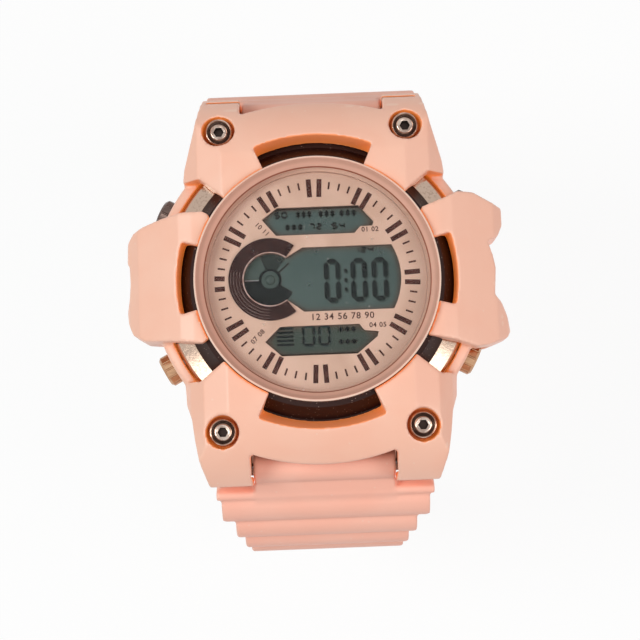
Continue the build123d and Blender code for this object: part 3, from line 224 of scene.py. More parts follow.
def buildSpecks():
    v = effectValues["specks"]
    group, given, result = startGroup("Specks", {"Size": v["size"], "Share": v["share"]}, ["Speck"])
    inputs = {"Vector": millimetres(group), "Scale": calc(group, "DIVIDE", 1.0, given["Size"])}
    cells = addNode(group, "ShaderNodeTexVoronoi", inputs).outputs
    dot = fade(group, cells["Distance"], *v["dotSpan"], 1.0, 0.0)
    pick = addNode(group, "ShaderNodeSeparateColor", {0: cells["Color"]}).outputs[0]
    chosen = calc(group, "LESS_THAN", pick, given["Share"])
    feed(group, result, {"Speck": times(group, dot, chosen)})
    return group


def buildTurnedRings():
    v = effectValues["turnedRings"]
    group, given, result = startGroup("TurnedRings", {"Width": v["width"]}, ["Height", "Sheen"])
    x, y, z = axes(group, millimetres(group))
    steps = calc(group, "DIVIDE", plus(group, spread(group, x, y), z), given["Width"])
    track = addNode(group, "ShaderNodeCombineXYZ", {0: steps}).outputs[0]
    height = noise(group, track, 1.0, v["detail"])
    feed(group, result, {"Height": height, "Sheen": noise(group, track, v["sheenScale"])})
    return group


def buildDrawnLines():
    v = effectValues["drawnLines"]
    group, given, result = startGroup(
        "DrawnLines", {"Fineness": v["fineness"]}, ["Height", "Sheen"])
    inputs = {0: millimetres(group), 1: given["Fineness"]}
    track = addNode(group, "ShaderNodeVectorMath", inputs, operation="MULTIPLY").outputs[0]
    sheen = noise(group, track, v["sheenScale"], v["sheenDetail"])
    feed(group, result, {"Height": noise(group, track, 1.0), "Sheen": sheen})
    return group


mouldGrain = buildMouldGrain()
edgeRub = buildEdgeRubHighlightAndCreaseShade()
deepShade = buildDeepShade()
specks = buildSpecks()
turnedRings = buildTurnedRings()
drawnLines = buildDrawnLines()
print("shared effects built")


# Finishes. In each, smoothest and unevenness make the roughness, and depth is the bump's

def startMaterial(name, constants=None):
    material = bpy.data.materials.new(name)
    material.use_nodes = True
    tree = material.node_tree
    tree.nodes.clear()
    shader = addNode(tree, "ShaderNodeBsdfPrincipled", constants)
    output = addNode(tree, "ShaderNodeOutputMaterial", {"Surface": shader.outputs[0]})
    return material, tree, shader, output


def grainAndSpecks(tree, v):
    grain = place(tree, mouldGrain, Size=v["grain"], Patch=v["patch"])
    return grain, place(tree, specks, Size=v["speckSize"], Share=v["speckCount"])["Speck"]


def coat(tree, shader, v, color, gloss, height, **others):
    # The last step of a finish; others are further sockets, with _ for each space
    inputs = {"Base Color": color, "Roughness": gloss, "Normal": bump(tree, height, v["depth"])}
    feed(tree, shader, {**inputs, **{label.replace("_", " "): x for label, x in others.items()}})


resinShared = {
    # The emission here is a painted glow in the deep walls
    "shader": {"Specular IOR Level": 0.45, "Sheen Weight": 0.05, "Emission Strength": 0.3},
    "rubPatch": 1.8, "lintSize": 0.9, "lintCount": 0.05, "lint": (0.95, 0.84, 0.78),
    "warmShare": 0.55, "creaseShadeShare": 0.3, "rubAndHighlightShare": 0.4, "lintShare": 0.16,
    "wallSpan": (0.3, 0.8), "inwardPaintedGlow": 0.6, "unevenness": 0.16,
    "inwardSpan": (-0.45, -0.2), "headFrom": 2.0, "middle": 1.0,
}
resinValues = {
    # deep is the colour of painted shade, worn the colour of rubbed edges and of a painted edge
    # highlight, glow the colour of a painted glow
    "shroud": {
        "color": (0.93, 0.53, 0.4), "warm": (0.92, 0.48, 0.35), "deep": (0.9, 0.26, 0.07),
        "worn": (0.97, 0.7, 0.58), "glow": (1.0, 0.24, 0.02), "shadeShare": 0.8, "reach": 2.6,
        "grain": 0.22, "patch": 9.0, "depth": 0.012, "smoothest": 0.32,
    },
    "strap": {
        "color": (0.94, 0.5, 0.39), "warm": (0.93, 0.45, 0.34), "deep": (0.84, 0.38, 0.27),
        "worn": (0.97, 0.66, 0.55), "glow": (0.1, 0.03, 0.01), "shadeShare": 0.35, "reach": 1.0,
        "grain": 0.3, "patch": 11.0, "depth": 0.018, "smoothest": 0.42,
    },
}


def inwardShare(tree, v):
    # How much a wall of the head faces its middle, where the photograph shows deep orange
    x, y, z = axes(tree, millimetres(tree))
    across, along, _ = facing(tree)
    towards = plus(tree, times(tree, x, across), times(tree, y, along))
    towards = calc(tree, "DIVIDE", towards, larger(tree, spread(tree, x, y), v["middle"]))
    onHead = calc(tree, "GREATER_THAN", z, v["headFrom"])
    return times(tree, fade(tree, towards, *v["inwardSpan"], 1.0, 0.0), onHead)


def peachResin(name, values):
    v = {**resinShared, **values}
    material, tree, shader, _ = startMaterial(name, v["shader"])
    grain = place(tree, mouldGrain, Size=v["grain"], Patch=v["patch"])
    rubHighlightAndShade = place(tree, edgeRub, Patch=v["rubPatch"])
    deep = place(tree, deepShade, Reach=v["reach"])["Deep"]
    lint = place(tree, specks, Size=v["lintSize"], Share=v["lintCount"])["Speck"]
    inward = times(tree, inwardShare(tree, v), v["shadeShare"])
    wall = fade(tree, calc(tree, "ABSOLUTE", facing(tree)[2]), *v["wallSpan"], 1.0, 0.0)
    color = tinted(tree, v["color"], grain["Patches"], v["warmShare"], v["warm"])
    # Painted shade in deep orange: in deep places, on walls that face the middle of the head, and
    # in creases
    color = tinted(tree, color, deep, v["shadeShare"], v["deep"])
    color = mixColor(tree, inward, color, v["deep"])
    color = tinted(tree, color, rubHighlightAndShade["CreaseShade"], v["creaseShadeShare"], v["deep"])
    # Lighter sharp edges: real rubbing and a painted edge highlight
    color = tinted(tree, color, rubHighlightAndShade["Edge"], v["rubAndHighlightShare"], v["worn"])
    color = tinted(tree, color, lint, v["lintShare"], v["lint"])
    # Painted glow: deep and inward-facing walls emit orange, standing in for light the resin passes
    # on inside them
    paintedGlowMask = larger(tree, times(tree, deep, wall), times(tree, inward, v["inwardPaintedGlow"]))
    glow = mixColor(tree, paintedGlowMask, (0.0, 0.0, 0.0), v["glow"])
    gloss = uneven(tree, grain["Height"], v)
    coat(tree, shader, v, color, gloss, grain["Height"], Emission_Color=glow)
    return material


# tower is the dark colour painted as reflection on the tower and in the four wells
caseValues = {
    "shader": {"Specular IOR Level": 0.2}, "shoulderTop": 11.25, "footTop": 10.25, "footBlend": 0.1,
    "ledgeRadius": 16.4, "ledgeBottom": 12.4, "darkWide": 10.0, "darkTall": 8.0,
    "shoulder": (0.5, 0.37, 0.29), "stain": (0.34, 0.24, 0.18), "foot": (0.34, 0.22, 0.17),
    "tower": (0.028, 0.011, 0.009), "towerSpeck": (0.55, 0.42, 0.36), "ledge": (0.67, 0.425, 0.33),
    "grain": 0.35, "patch": 2.5, "fineness": (6.0, 6.0, 0.35), "speckSize": 0.26,
    "speckCount": 0.16, "speckShare": 0.8, "speckRise": 2.0, "stainSpan": (0.5, 0.66),
    "stainShare": 0.7, "towerMetal": 0.15, "towerDull": 0.22, "glossSpan": (0.35, 0.7),
    "smoothest": 0.07, "unevenness": 0.08, "depth": 0.003,
}


def platedCase():
    v = caseValues
    material, tree, shader, _ = startMaterial("rose_plate_painted_dark_reflection", v["shader"])
    grain, dots = grainAndSpecks(tree, v)
    lines = place(tree, drawnLines, Fineness=v["fineness"])
    x, y, level = axes(tree, millimetres(tree))
    # Dark on the tower and in the four wells, bright on the shoulder between them: the dark colour
    # is a painted dark reflection
    onTower = calc(tree, "GREATER_THAN", level, v["shoulderTop"])
    for across, reach in ((x, v["darkWide"]), (y, v["darkTall"])):
        inWell = calc(tree, "LESS_THAN", calc(tree, "ABSOLUTE", across), reach)
        onTower = larger(tree, onTower, inWell)
    inLedge = calc(tree, "LESS_THAN", spread(tree, x, y), v["ledgeRadius"])
    inLedge = times(tree, inLedge, calc(tree, "GREATER_THAN", level, v["ledgeBottom"]))
    stained = times(tree, grain["Patches"], fade(tree, grain["Height"], *v["stainSpan"]))
    shoulder = tinted(tree, v["shoulder"], stained, v["stainShare"], v["stain"])
    tower = tinted(tree, v["tower"], dots, v["speckShare"], v["towerSpeck"])
    foot = mixColor(tree, lines["Sheen"], v["foot"], v["shoulder"])
    aboveFoot = fade(tree, level, v["footTop"] - v["footBlend"], v["footTop"])
    color = mixColor(tree, aboveFoot, foot, shoulder)
    color = mixColor(tree, onTower, color, tower)
    color = mixColor(tree, inLedge, color, v["ledge"])
    metal = calc(tree, "SUBTRACT", 1.0, times(tree, onTower, 1 - v["towerMetal"]))
    metal = times(tree, metal, calc(tree, "SUBTRACT", 1.0, inLedge))
    roughest = v["smoothest"] + v["unevenness"]
    gloss = fade(tree, grain["Height"], *v["glossSpan"], v["smoothest"], roughest)
    gloss = plus(tree, gloss, times(tree, onTower, v["towerDull"]))
    raised = times(tree, times(tree, dots, onTower), v["speckRise"])
    height = plus(tree, grain["Height"], raised)
    coat(tree, shader, v, color, gloss, height, Metallic=metal)
    return material


turnedShared = {
    "grain": 0.12, "patch": 4.0, "speckSize": 0.5, "speckCount": 0.06, "speckShare": 0.4,
    "speck": (0.9, 0.82, 0.76), "unevenness": 0.18, "grainRise": 0.4,
}
# rim is lighter as a painted highlight on the polished outer rim
ringValues = {
    "shader": {"Specular IOR Level": 0.25}, "face": (0.84, 0.49, 0.38), "shade": (0.76, 0.42, 0.32),
    "band": (0.62, 0.33, 0.25), "rim": (0.86, 0.62, 0.5), "lip": (0.32, 0.1, 0.06),
    "shadeShare": 0.3, "bandSpan": (16.35, 16.75), "bandShare": 0.75, "rimFrom": 17.1,
    "rimBlend": 0.05, "lipTo": 16.05, "lipBlend": 0.04, "width": 0.07, "depth": 0.004,
    "smoothest": 0.28, "rimShine": 0.14, "metal": 0.25, "rimMetal": 0.9,
}


def roseRing():
    v = {**turnedShared, **ringValues}
    material, tree, shader, _ = startMaterial("satin_rose_ring", v["shader"])
    rings = place(tree, turnedRings, Width=v["width"])
    grain, dust = grainAndSpecks(tree, v)
    x, y, _ = axes(tree, millimetres(tree))
    radius = spread(tree, x, y)
    onRim = fade(tree, radius, v["rimFrom"] - v["rimBlend"], v["rimFrom"] + v["rimBlend"])
    onLip = fade(tree, radius, v["lipTo"] - v["lipBlend"], v["lipTo"] + v["lipBlend"], 1.0, 0.0)
    color = mixColor(tree, rings["Sheen"], v["face"], v["shade"])
    color = tinted(tree, color, grain["Patches"], v["shadeShare"], v["shade"])
    color = tinted(tree, color, dust, v["speckShare"], v["rim"])
    onBand = fade(tree, radius, *v["bandSpan"], 0.0, v["bandShare"])
    color = mixColor(tree, onBand, color, v["band"])
    # The outer rim is polished, more metallic and smoother, and its lighter colour is a painted
    # highlight
    color = mixColor(tree, onRim, color, v["rim"])
    color = mixColor(tree, onLip, color, v["lip"])
    gloss = uneven(tree, rings["Height"], v)
    gloss = calc(tree, "SUBTRACT", gloss, times(tree, onRim, v["rimShine"]))
    height = plus(tree, rings["Height"], times(tree, grain["Height"], v["grainRise"]))
    metal = fade(tree, onRim, 0.0, 1.0, v["metal"], v["rimMetal"])
    coat(tree, shader, v, color, gloss, height, Metallic=metal)
    return material


turnedValues = {
    "back": {
        "color": (0.62, 0.6, 0.58), "dark": (0.45, 0.43, 0.42), "width": 0.1, "depth": 0.006,
        "smoothest": 0.2,
    },
    "cell": {
        "color": (0.7, 0.7, 0.7), "dark": (0.5, 0.5, 0.52), "width": 0.2, "depth": 0.004,
        "smoothest": 0.22,
    },
    "buzzer": {
        "color": (0.72, 0.55, 0.24), "dark": (0.5, 0.36, 0.14), "width": 0.25, "depth": 0.006,
        "smoothest": 0.26,
    },
}


def turnedMetal(name, values):
    v = {**turnedShared, **values}
    material, tree, shader, _ = startMaterial(name, {"Metallic": 1.0})
    rings = place(tree, turnedRings, Width=v["width"])
    grain, dust = grainAndSpecks(tree, v)
    color = mixColor(tree, rings["Sheen"], v["color"], v["dark"])
    color = tinted(tree, color, dust, v["speckShare"], v["speck"])
    height = plus(tree, rings["Height"], times(tree, grain["Height"], v["grainRise"]))
    gloss = uneven(tree, rings["Height"], v)
    coat(tree, shader, v, color, gloss, height)
    return material


screwValues = {
    "color": (0.6, 0.49, 0.42), "worn": (0.38, 0.27, 0.22), "groove": (0.1, 0.06, 0.05),
    "grooveTop": 13.3, "grooveBlend": 0.2, "grooveReach": 0.8, "grooveSpan": (0.05, 0.5),
    "leastGroove": 0.5, "grain": 0.1, "patch": 1.2, "smoothest": 0.1, "unevenness": 0.12,
    "depth": 0.004,
}


def brightScrew():
    v = screwValues
    material, tree, shader, _ = startMaterial("bright_turned_screw", {"Metallic": 1.0})
    grain = place(tree, mouldGrain, Size=v["grain"], Patch=v["patch"])
    deep = place(tree, deepShade, Reach=v["grooveReach"])["Deep"]
    level = axes(tree, millimetres(tree))[2]
    # Painted shade in the head's groove, placed by its height and the shade mask
    below = fade(tree, level, v["grooveTop"] - v["grooveBlend"], v["grooveTop"], 1.0, 0.0)
    below = times(tree, below, fade(tree, deep, *v["grooveSpan"], v["leastGroove"], 1.0))
    color = mixColor(tree, grain["Patches"], v["color"], v["worn"])
    color = mixColor(tree, below, color, v["groove"])
    gloss = uneven(tree, grain["Height"], v)
    coat(tree, shader, v, color, gloss, grain["Height"])
    return material


drawnShared = {
    "speckSize": 0.35, "speckCount": 0.08, "speckDull": 0.25, "reach": 0.5, "deepShare": 0.5,
    "unevenness": 0.2, "depth": 0.005,
}
drawnValues = {
    "lowerButton": {
        "color": (0.72, 0.44, 0.26), "dark": (0.36, 0.19, 0.11), "fineness": (1.2, 7.0, 7.0),
        "smoothest": 0.12,
    },
    # The upper buttons are the same metal as the lower ones, painted dark as shade
    "upperButtonPaintedShade": {
        "color": (0.2, 0.14, 0.12), "dark": (0.07, 0.045, 0.04), "fineness": (1.2, 7.0, 7.0),
        "smoothest": 0.16,
    },
    # the hex sockets' near-black is painted shade in the recess
    "socket": {
        "color": (0.05, 0.035, 0.03), "dark": (0.02, 0.014, 0.012), "fineness": (4.0, 4.0, 4.0),
        "smoothest": 0.32,
    },
    "buckle": {
        "color": (0.68, 0.45, 0.35), "dark": (0.5, 0.31, 0.23), "fineness": (0.35, 8.0, 8.0),
        "smoothest": 0.22,
    },
    "steel": {
        "color": (0.6, 0.6, 0.6), "dark": (0.4, 0.4, 0.41), "fineness": (0.5, 9.0, 9.0),
        "smoothest": 0.18,
    },
    "gold": {
        "color": (0.82, 0.6, 0.26), "dark": (0.6, 0.4, 0.15), "fineness": (3.0, 3.0, 6.0),
        "smoothest": 0.2,
    },
    "backScrew": {
        "color": (0.56, 0.54, 0.52), "dark": (0.3, 0.29, 0.28), "fineness": (6.0, 6.0, 0.6),
        "smoothest": 0.17,
    },
}


def drawnMetal(name, values):
    v = {**drawnShared, **values}
    material, tree, shader, _ = startMaterial(name, {"Metallic": 1.0})
    lines = place(tree, drawnLines, Fineness=v["fineness"])
    dots = place(tree, specks, Size=v["speckSize"], Share=v["speckCount"])["Speck"]
    deep = place(tree, deepShade, Reach=v["reach"])["Deep"]
    color = mixColor(tree, lines["Sheen"], v["color"], v["dark"])
    color = tinted(tree, color, deep, v["deepShare"], v["dark"])
    gloss = uneven(tree, lines["Height"], v)
    gloss = plus(tree, gloss, times(tree, dots, v["speckDull"]))
    coat(tree, shader, v, color, gloss, lines["Height"])
    return material


mouldedShared = {
    "patch": 3.0, "speckSize": 0.6, "speckCount": 0.1, "speckShare": 0.3,
    "speck": (0.4, 0.38, 0.36), "unevenness": 0.2, "depth": 0.01,
}
mouldedValues = {
    "module": {
        "color": (0.035, 0.035, 0.038), "worn": (0.07, 0.07, 0.072), "grain": 0.2,
        "smoothest": 0.4,
    },
    "seal": {
        "color": (0.018, 0.018, 0.018), "worn": (0.045, 0.044, 0.042), "grain": 0.12,
        "smoothest": 0.52,
    },
    "gasket": {
        "color": (0.62, 0.36, 0.28), "worn": (0.5, 0.27, 0.2), "grain": 0.12, "smoothest": 0.4,
    },
    "chip": {
        "color": (0.011, 0.011, 0.012), "worn": (0.03, 0.03, 0.032), "grain": 0.5,
        "smoothest": 0.15,
    },
    "guide": {
        "color": (0.78, 0.82, 0.8), "worn": (0.66, 0.72, 0.7), "grain": 0.15, "smoothest": 0.25,
    },
    "lamp": {
        "color": (0.86, 0.78, 0.55), "worn": (0.72, 0.6, 0.34), "grain": 0.3, "smoothest": 0.1,
    },
}


def mouldedPart(name, values):
    v = {**mouldedShared, **values}
    material, tree, shader, _ = startMaterial(name)
    grain, dots = grainAndSpecks(tree, v)
    color = mixColor(tree, grain["Patches"], v["color"], v["worn"])
    color = tinted(tree, color, dots, v["speckShare"], v["speck"])
    gloss = uneven(tree, grain["Height"], v)
    coat(tree, shader, v, color, gloss, grain["Height"])
    return material


boardValues = {
    "shader": {"Coat Weight": 0.4, "Coat Roughness": 0.15},
    "mask": (0.015, 0.11, 0.045), "track": (0.03, 0.22, 0.09), "stain": (0.01, 0.07, 0.03),
    "pitch": 0.9, "line": 0.16, "lineBlend": 0.3, "padWidth": 2.6, "rowHeight": 0.8, "shift": 0.37,
    "grain": 0.25, "patch": 2.5, "stainShare": 0.3, "grainRise": 0.3, "glossSpan": (0.2, 0.8),
    "gloss": (0.25, 0.45), "depth": 0.03,
}


def circuitGreen():
    v = boardValues
    material, tree, shader, _ = startMaterial("green_circuit_board", v["shader"])
    tracks = addNode(tree, "ShaderNodeTexBrick", {
        "Vector": millimetres(tree), "Scale": 1 / v["pitch"], "Mortar Size": v["line"],
        "Mortar Smooth": v["lineBlend"], "Brick Width": v["padWidth"],
        "Row Height": v["rowHeight"]}, offset=v["shift"]).outputs["Fac"]
    grain = place(tree, mouldGrain, Size=v["grain"], Patch=v["patch"])
    color = mixColor(tree, tracks, v["mask"], v["track"])
    color = tinted(tree, color, grain["Patches"], v["stainShare"], v["stain"])
    height = plus(tree, tracks, times(tree, grain["Height"], v["grainRise"]))
    gloss = fade(tree, grain["Height"], *v["glossSpan"], *v["gloss"])
    coat(tree, shader, v, color, gloss, height)
    return material


# rim is darker as painted shade from the ring
dialValues = {
    "shader": {"Coat Weight": 0.15}, "color": (0.62, 0.4, 0.31), "shade": (0.54, 0.335, 0.25),
    "sparkle": (1.0, 0.86, 0.78), "rim": (0.55, 0.33, 0.255), "ringShadeSpan": (14.4, 15.6),
    "ringShadeShare": 0.6, "grain": 0.09, "patch": 7.0, "speckSize": 0.11, "speckCount": 0.35,
    "sparkleShare": 0.25, "ringWidth": 0.12, "ringRise": 0.3, "glossSpan": (0.3, 0.7),
    "gloss": (0.3, 0.46), "metal": (0.1, 0.5), "depth": 0.004,
}


def satinDial():
    v = dialValues
    material, tree, shader, _ = startMaterial("rose_satin_dial", v["shader"])
    grain, fine = grainAndSpecks(tree, v)
    rings = place(tree, turnedRings, Width=v["ringWidth"])
    x, y, _ = axes(tree, millimetres(tree))
    # Darker towards the rim: painted shade from the ring's wall
    outer = fade(tree, spread(tree, x, y), *v["ringShadeSpan"], 0.0, v["ringShadeShare"])
    color = mixColor(tree, grain["Patches"], v["color"], v["shade"])
    color = mixColor(tree, outer, color, v["rim"])
    color = tinted(tree, color, fine, v["sparkleShare"], v["sparkle"])
    height = plus(tree, grain["Height"], times(tree, rings["Height"], v["ringRise"]))
    gloss = fade(tree, grain["Height"], *v["glossSpan"], *v["gloss"])
    metal = fade(tree, fine, 0.0, 1.0, *v["metal"])
    coat(tree, shader, v, color, gloss, height, Metallic=metal)
    return material


# Ink colours by what they print: thin is where the ink is worn
inkShared = {
    "shader": {"Specular IOR Level": 0.12}, "grain": 0.07, "patch": 0.9, "speckSize": 0.35,
    "speckCount": 0.1, "speckShare": 0.25, "speck": (0.6, 0.5, 0.46), "glossSpan": (0.3, 0.7),
    "smoother": 0.06, "rougher": 0.1, "depth": 0.003,
}
inkValues = {
    "brown": {"color": (0.042, 0.012, 0.009), "thin": (0.08, 0.028, 0.022), "gloss": 0.42},
    "crescent": {"color": (0.02, 0.006, 0.005), "thin": (0.04, 0.016, 0.014), "gloss": 0.3},
    "segment": {"color": (0.003, 0.005, 0.005), "thin": (0.008, 0.012, 0.012), "gloss": 0.36},
    "shadow": {"color": (0.03, 0.045, 0.041), "thin": (0.037, 0.054, 0.05), "gloss": 0.36},
    "night": {"color": (0.004, 0.006, 0.006), "thin": (0.012, 0.014, 0.014), "gloss": 0.3},
    "gloom": {"color": (0.02, 0.026, 0.024), "thin": (0.03, 0.037, 0.034), "gloss": 0.3},
    "dusk": {"color": (0.052, 0.072, 0.065), "thin": (0.066, 0.088, 0.08), "gloss": 0.3},
    "line": {"color": (0.3, 0.3, 0.3), "thin": (0.14, 0.14, 0.14), "gloss": 0.35},
    "pale": {"color": (0.62, 0.44, 0.4), "thin": (0.4, 0.24, 0.2), "gloss": 0.35},
    "arc": {"color": (0.17, 0.11, 0.1), "thin": (0.07, 0.04, 0.036), "gloss": 0.3},
}


def printedInk(name, values):
    v = {**inkShared, **values}
    material, tree, shader, _ = startMaterial(name, v["shader"])
    grain, dust = grainAndSpecks(tree, v)
    color = mixColor(tree, grain["Patches"], v["color"], v["thin"])
    color = tinted(tree, color, dust, v["speckShare"], v["speck"])
    span = (v["gloss"] - v["smoother"], v["gloss"] + v["rougher"])
    gloss = fade(tree, grain["Height"], *v["glossSpan"], *span)
    coat(tree, shader, v, color, gloss, grain["Height"])
    return material


# border is a painted reflection of the window's brown edge
cellValues = {
    "shader": {"Specular IOR Level": 0.12}, "color": (0.06, 0.088, 0.084),
    "pale": (0.075, 0.105, 0.099), "border": (0.1, 0.062, 0.046), "dusk": (0.044, 0.056, 0.044),
    "duskSpan": (-7.0, -4.6), "duskShare": 0.8, "reach": 1.6, "borderSpan": (0.3, 0.9),
    "borderShare": 0.85, "grain": 0.15, "patch": 6.0, "speckSize": 0.8, "speckCount": 0.09,
    "speckShare": 0.3, "speck": (0.5, 0.47, 0.44), "glossSpan": (0.3, 0.7), "gloss": (0.22, 0.34),
    "depth": 0.002,
}


def greyCell():
    v = cellValues
    material, tree, shader, _ = startMaterial("grey_display_cell", v["shader"])
    grain, dust = grainAndSpecks(tree, v)
    deep = place(tree, deepShade, Reach=v["reach"])["Deep"]
    along = axes(tree, millimetres(tree))[1]
    color = mixColor(tree, grain["Patches"], v["color"], v["pale"])
    below = fade(tree, along, *v["duskSpan"], v["duskShare"], 0.0)
    color = mixColor(tree, below, color, v["dusk"])
    # Brownish near the window's edges, placed by the shade mask: a painted reflection of the edge
    windowEdgeReflection = fade(tree, deep, *v["borderSpan"], 0.0, v["borderShare"])
    color = mixColor(tree, windowEdgeReflection, color, v["border"])
    color = tinted(tree, color, dust, v["speckShare"], v["speck"])
    gloss = fade(tree, grain["Height"], *v["glossSpan"], *v["gloss"])
    coat(tree, shader, v, color, gloss, grain["Height"])
    return material


glassValues = {
    "shader": {"Transmission Weight": 1.0, "IOR": 1.18, "Metallic": 0.0},
    "tint": (0.985, 0.98, 0.975), "smeared": (0.965, 0.962, 0.955), "grain": 2.5, "patch": 8.0,
    "speckSize": 1.3, "speckCount": 0.08, "speckDull": 0.3, "smearSpan": (0.4, 0.8),
    "smearDull": 0.012,
}


def clearGlass():
    v = glassValues
    material, tree, shader, output = startMaterial("clear_mineral_glass", v["shader"])
    smear, dust = grainAndSpecks(tree, v)
    gloss = fade(tree, smear["Height"], *v["smearSpan"], 0.0, v["smearDull"])
    gloss = plus(tree, gloss, times(tree, dust, v["speckDull"]))
    tint = mixColor(tree, smear["Patches"], v["tint"], v["smeared"])
    feed(tree, shader, {"Roughness": gloss, "Base Color": tint})
    # Lamp light passes straight through, so the dial under the glass stays lit
    rays = addNode(tree, "ShaderNodeLightPath").outputs
    passing = larger(tree, rays["Is Shadow Ray"], rays["Is Diffuse Ray"])
    clear = addNode(tree, "ShaderNodeBsdfTransparent").outputs[0]
    mixed = addNode(tree, "ShaderNodeMixShader", {0: passing, 1: shader.outputs[0], 2: clear})
    feed(tree, output, {"Surface": mixed.outputs[0]})
    return material


shroudResin = peachResin("peach_shroud_resin", resinValues["shroud"])
strapResin = peachResin("peach_strap_resin", resinValues["strap"])
inks = {name: printedInk(f"{name}_print", values) for name, values in inkValues.items()}
# The upper buttons' dark finish is painted shade
upperButtonPaintedShade = drawnMetal("dark_button_steel", drawnValues["upperButtonPaintedShade"])
socketPaintedShade = drawnMetal("socket_painted_shade", drawnValues["socket"])
slotFinishes = {
    "rose_case_plate": platedCase(),
    "rose_ring": roseRing(),
    "back_steel": turnedMetal("turned_back_steel", turnedValues["back"]),
    "bright_screws": brightScrew(),
    "dark_button_steel": drawnMetal("bright_button_steel", drawnValues["lowerButton"]),
    "plain_steel": drawnMetal("drawn_steel", drawnValues["steel"]),
    "rose_buckle": drawnMetal("brushed_rose_buckle", drawnValues["buckle"]),
    "contact_gold": drawnMetal("gold_contacts", drawnValues["gold"]),
    "module_plastic": mouldedPart("black_module_plastic", mouldedValues["module"]),
    "black_seals": mouldedPart("black_seal_rubber", mouldedValues["seal"]),
    "chip_black": mouldedPart("black_potting", mouldedValues["chip"]),
    "light_guide_acrylic": mouldedPart("frosted_light_guide", mouldedValues["guide"]),
    "lamp_amber": mouldedPart("lamp_resin", mouldedValues["lamp"]),
    "board_green": circuitGreen(),
    "dial_brown": satinDial(),
    "crescent_brown": inks["crescent"],
    "display_glass": greyCell(),
    "clear_glass": clearGlass(),
    "peach_resin": shroudResin,
    "peach_strap_resin": strapResin,
}
nodeFinishes = {  # nodes whose finish isn't the one of their slot
    "coin_cell": turnedMetal("coin_cell_steel", turnedValues["cell"]),
    "buzzer_disc": turnedMetal("buzzer_brass", turnedValues["buzzer"]),
    "case_back_screws": drawnMetal("back_screw_steel", drawnValues["backScrew"]),
    "button_upper_right": upperButtonPaintedShade,
    "button_upper_left": upperButtonPaintedShade,
    "crystal_gasket": mouldedPart("pale_glass_gasket", mouldedValues["gasket"]),
}


def dressNodes():
    for name, node in nodes.items():
        for part in node.material_slots:
            slot = part.material.name.split(".")[0]
            part.material = nodeFinishes.get(name) or slotFinishes[slot]


dressNodes()
print("finishes placed on the packed nodes")


# Moulded resin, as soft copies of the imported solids

mouldValues = {
    "bezel_shroud": {
        "piece": "moulded_shroud", "body": "head", "slot": "peach_resin", "voxel": 0.24,
    },
    "strap_upper": {
        "piece": "short_band", "body": "short_strap", "slot": "peach_strap_resin", "voxel": 0.28,
    },
    "strap_lower": {
        "piece": "long_band", "body": "long_strap", "slot": "peach_strap_resin", "voxel": 0.28,
    },
    "strap_keeper": {
        "piece": "band_keeper", "body": "keeper", "slot": "peach_strap_resin", "voxel": 0.22,
    },
}
mouldSmooth = {"factor": 0.5, "rounds": 3}


def addPiece(name, mesh, body, material):
    piece = bpy.data.objects.new(name, mesh)
    collection.objects.link(piece)
    mesh.materials.clear()
    mesh.materials.append(material)
    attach(piece, body)
    return piece


def bakedMesh(holder):
    graph = bpy.context.evaluated_depsgraph_get()
    return bpy.data.meshes.new_from_object(holder.evaluated_get(graph))


def meshFrom(work, name):
    mesh = bpy.data.meshes.new(name)
    work.to_mesh(mesh)
    work.free()
    return mesh


def shadeSmooth(mesh):
    mesh.polygons.foreach_set("use_smooth", [True] * len(mesh.polygons))


def softMould(node, v):
    holder = bpy.data.objects.new("holder", nodes[node].data.copy())
    collection.objects.link(holder)
    remesh = holder.modifiers.new("remesh", "REMESH")
    remesh.mode = "VOXEL"
    remesh.voxel_size = v["voxel"] * mm
    smooth = holder.modifiers.new("smooth", "SMOOTH")
    smooth.factor = mouldSmooth["factor"]
    smooth.iterations = mouldSmooth["rounds"]
    mesh = bakedMesh(holder)
    bpy.data.objects.remove(holder)
    shadeSmooth(mesh)
    piece = addPiece(v["piece"], mesh, v["body"], slotFinishes[v["slot"]])
    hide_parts(node)
    print(v["piece"], "moulded with", len(mesh.polygons), "faces")


for node, values in mouldValues.items():
    softMould(node, values)


# Dial print and display signs, as thin flat pieces

def flatMesh(name, outlines, bottom, height):
    work = bmesh.new()
    for outline in outlines:
        low, high = (
            [work.verts.new((point[0] * mm, point[1] * mm, level * mm)) for point in outline]
            for level in (bottom, bottom + height))
        work.faces.new(high)
        work.faces.new(low[::-1])
        for index, corner in enumerate(low):
            after = (index + 1) % len(low)
            work.faces.new((corner, low[after], high[after], high[index]))
    bmesh.ops.recalc_face_normals(work, faces=work.faces)
    return meshFrom(work, name)


def layPrint(name, outlines, bottom, height, material):
    addPiece(name, flatMesh(name, outlines, bottom, height), "head", material)


def polar(radius, degrees, centre=(0.0, 0.0)):
    turn = math.radians(degrees)
    return centre[0] + radius * math.cos(turn), centre[1] + radius * math.sin(turn)


def arcBand(inner, outer, start, stop, centre, step=4.0):
    count = max(2, round(abs(stop - start) / step))
    turns = [start + (stop - start) * index / count for index in range(count + 1)]
    near = [polar(inner, turn, centre) for turn in turns]
    return near + [polar(outer, turn, centre) for turn in turns[::-1]]


def roundBands(inner, outer, centre, count):
    # A whole ring in parts, since one outline can't close round a hole
    span = 360 / count
    return [arcBand(inner, outer, part * span, (part + 1) * span, centre) for part in range(count)]


def straightMark(inner, outer, width, degrees, centre=(0.0, 0.0)):
    turn = math.radians(degrees)
    across = Vector((-math.sin(turn), math.cos(turn))) * width / 2
    near, far = (Vector(polar(radius, degrees, centre)) for radius in (inner, outer))
    return [near - across, far - across, far + across, near + across]


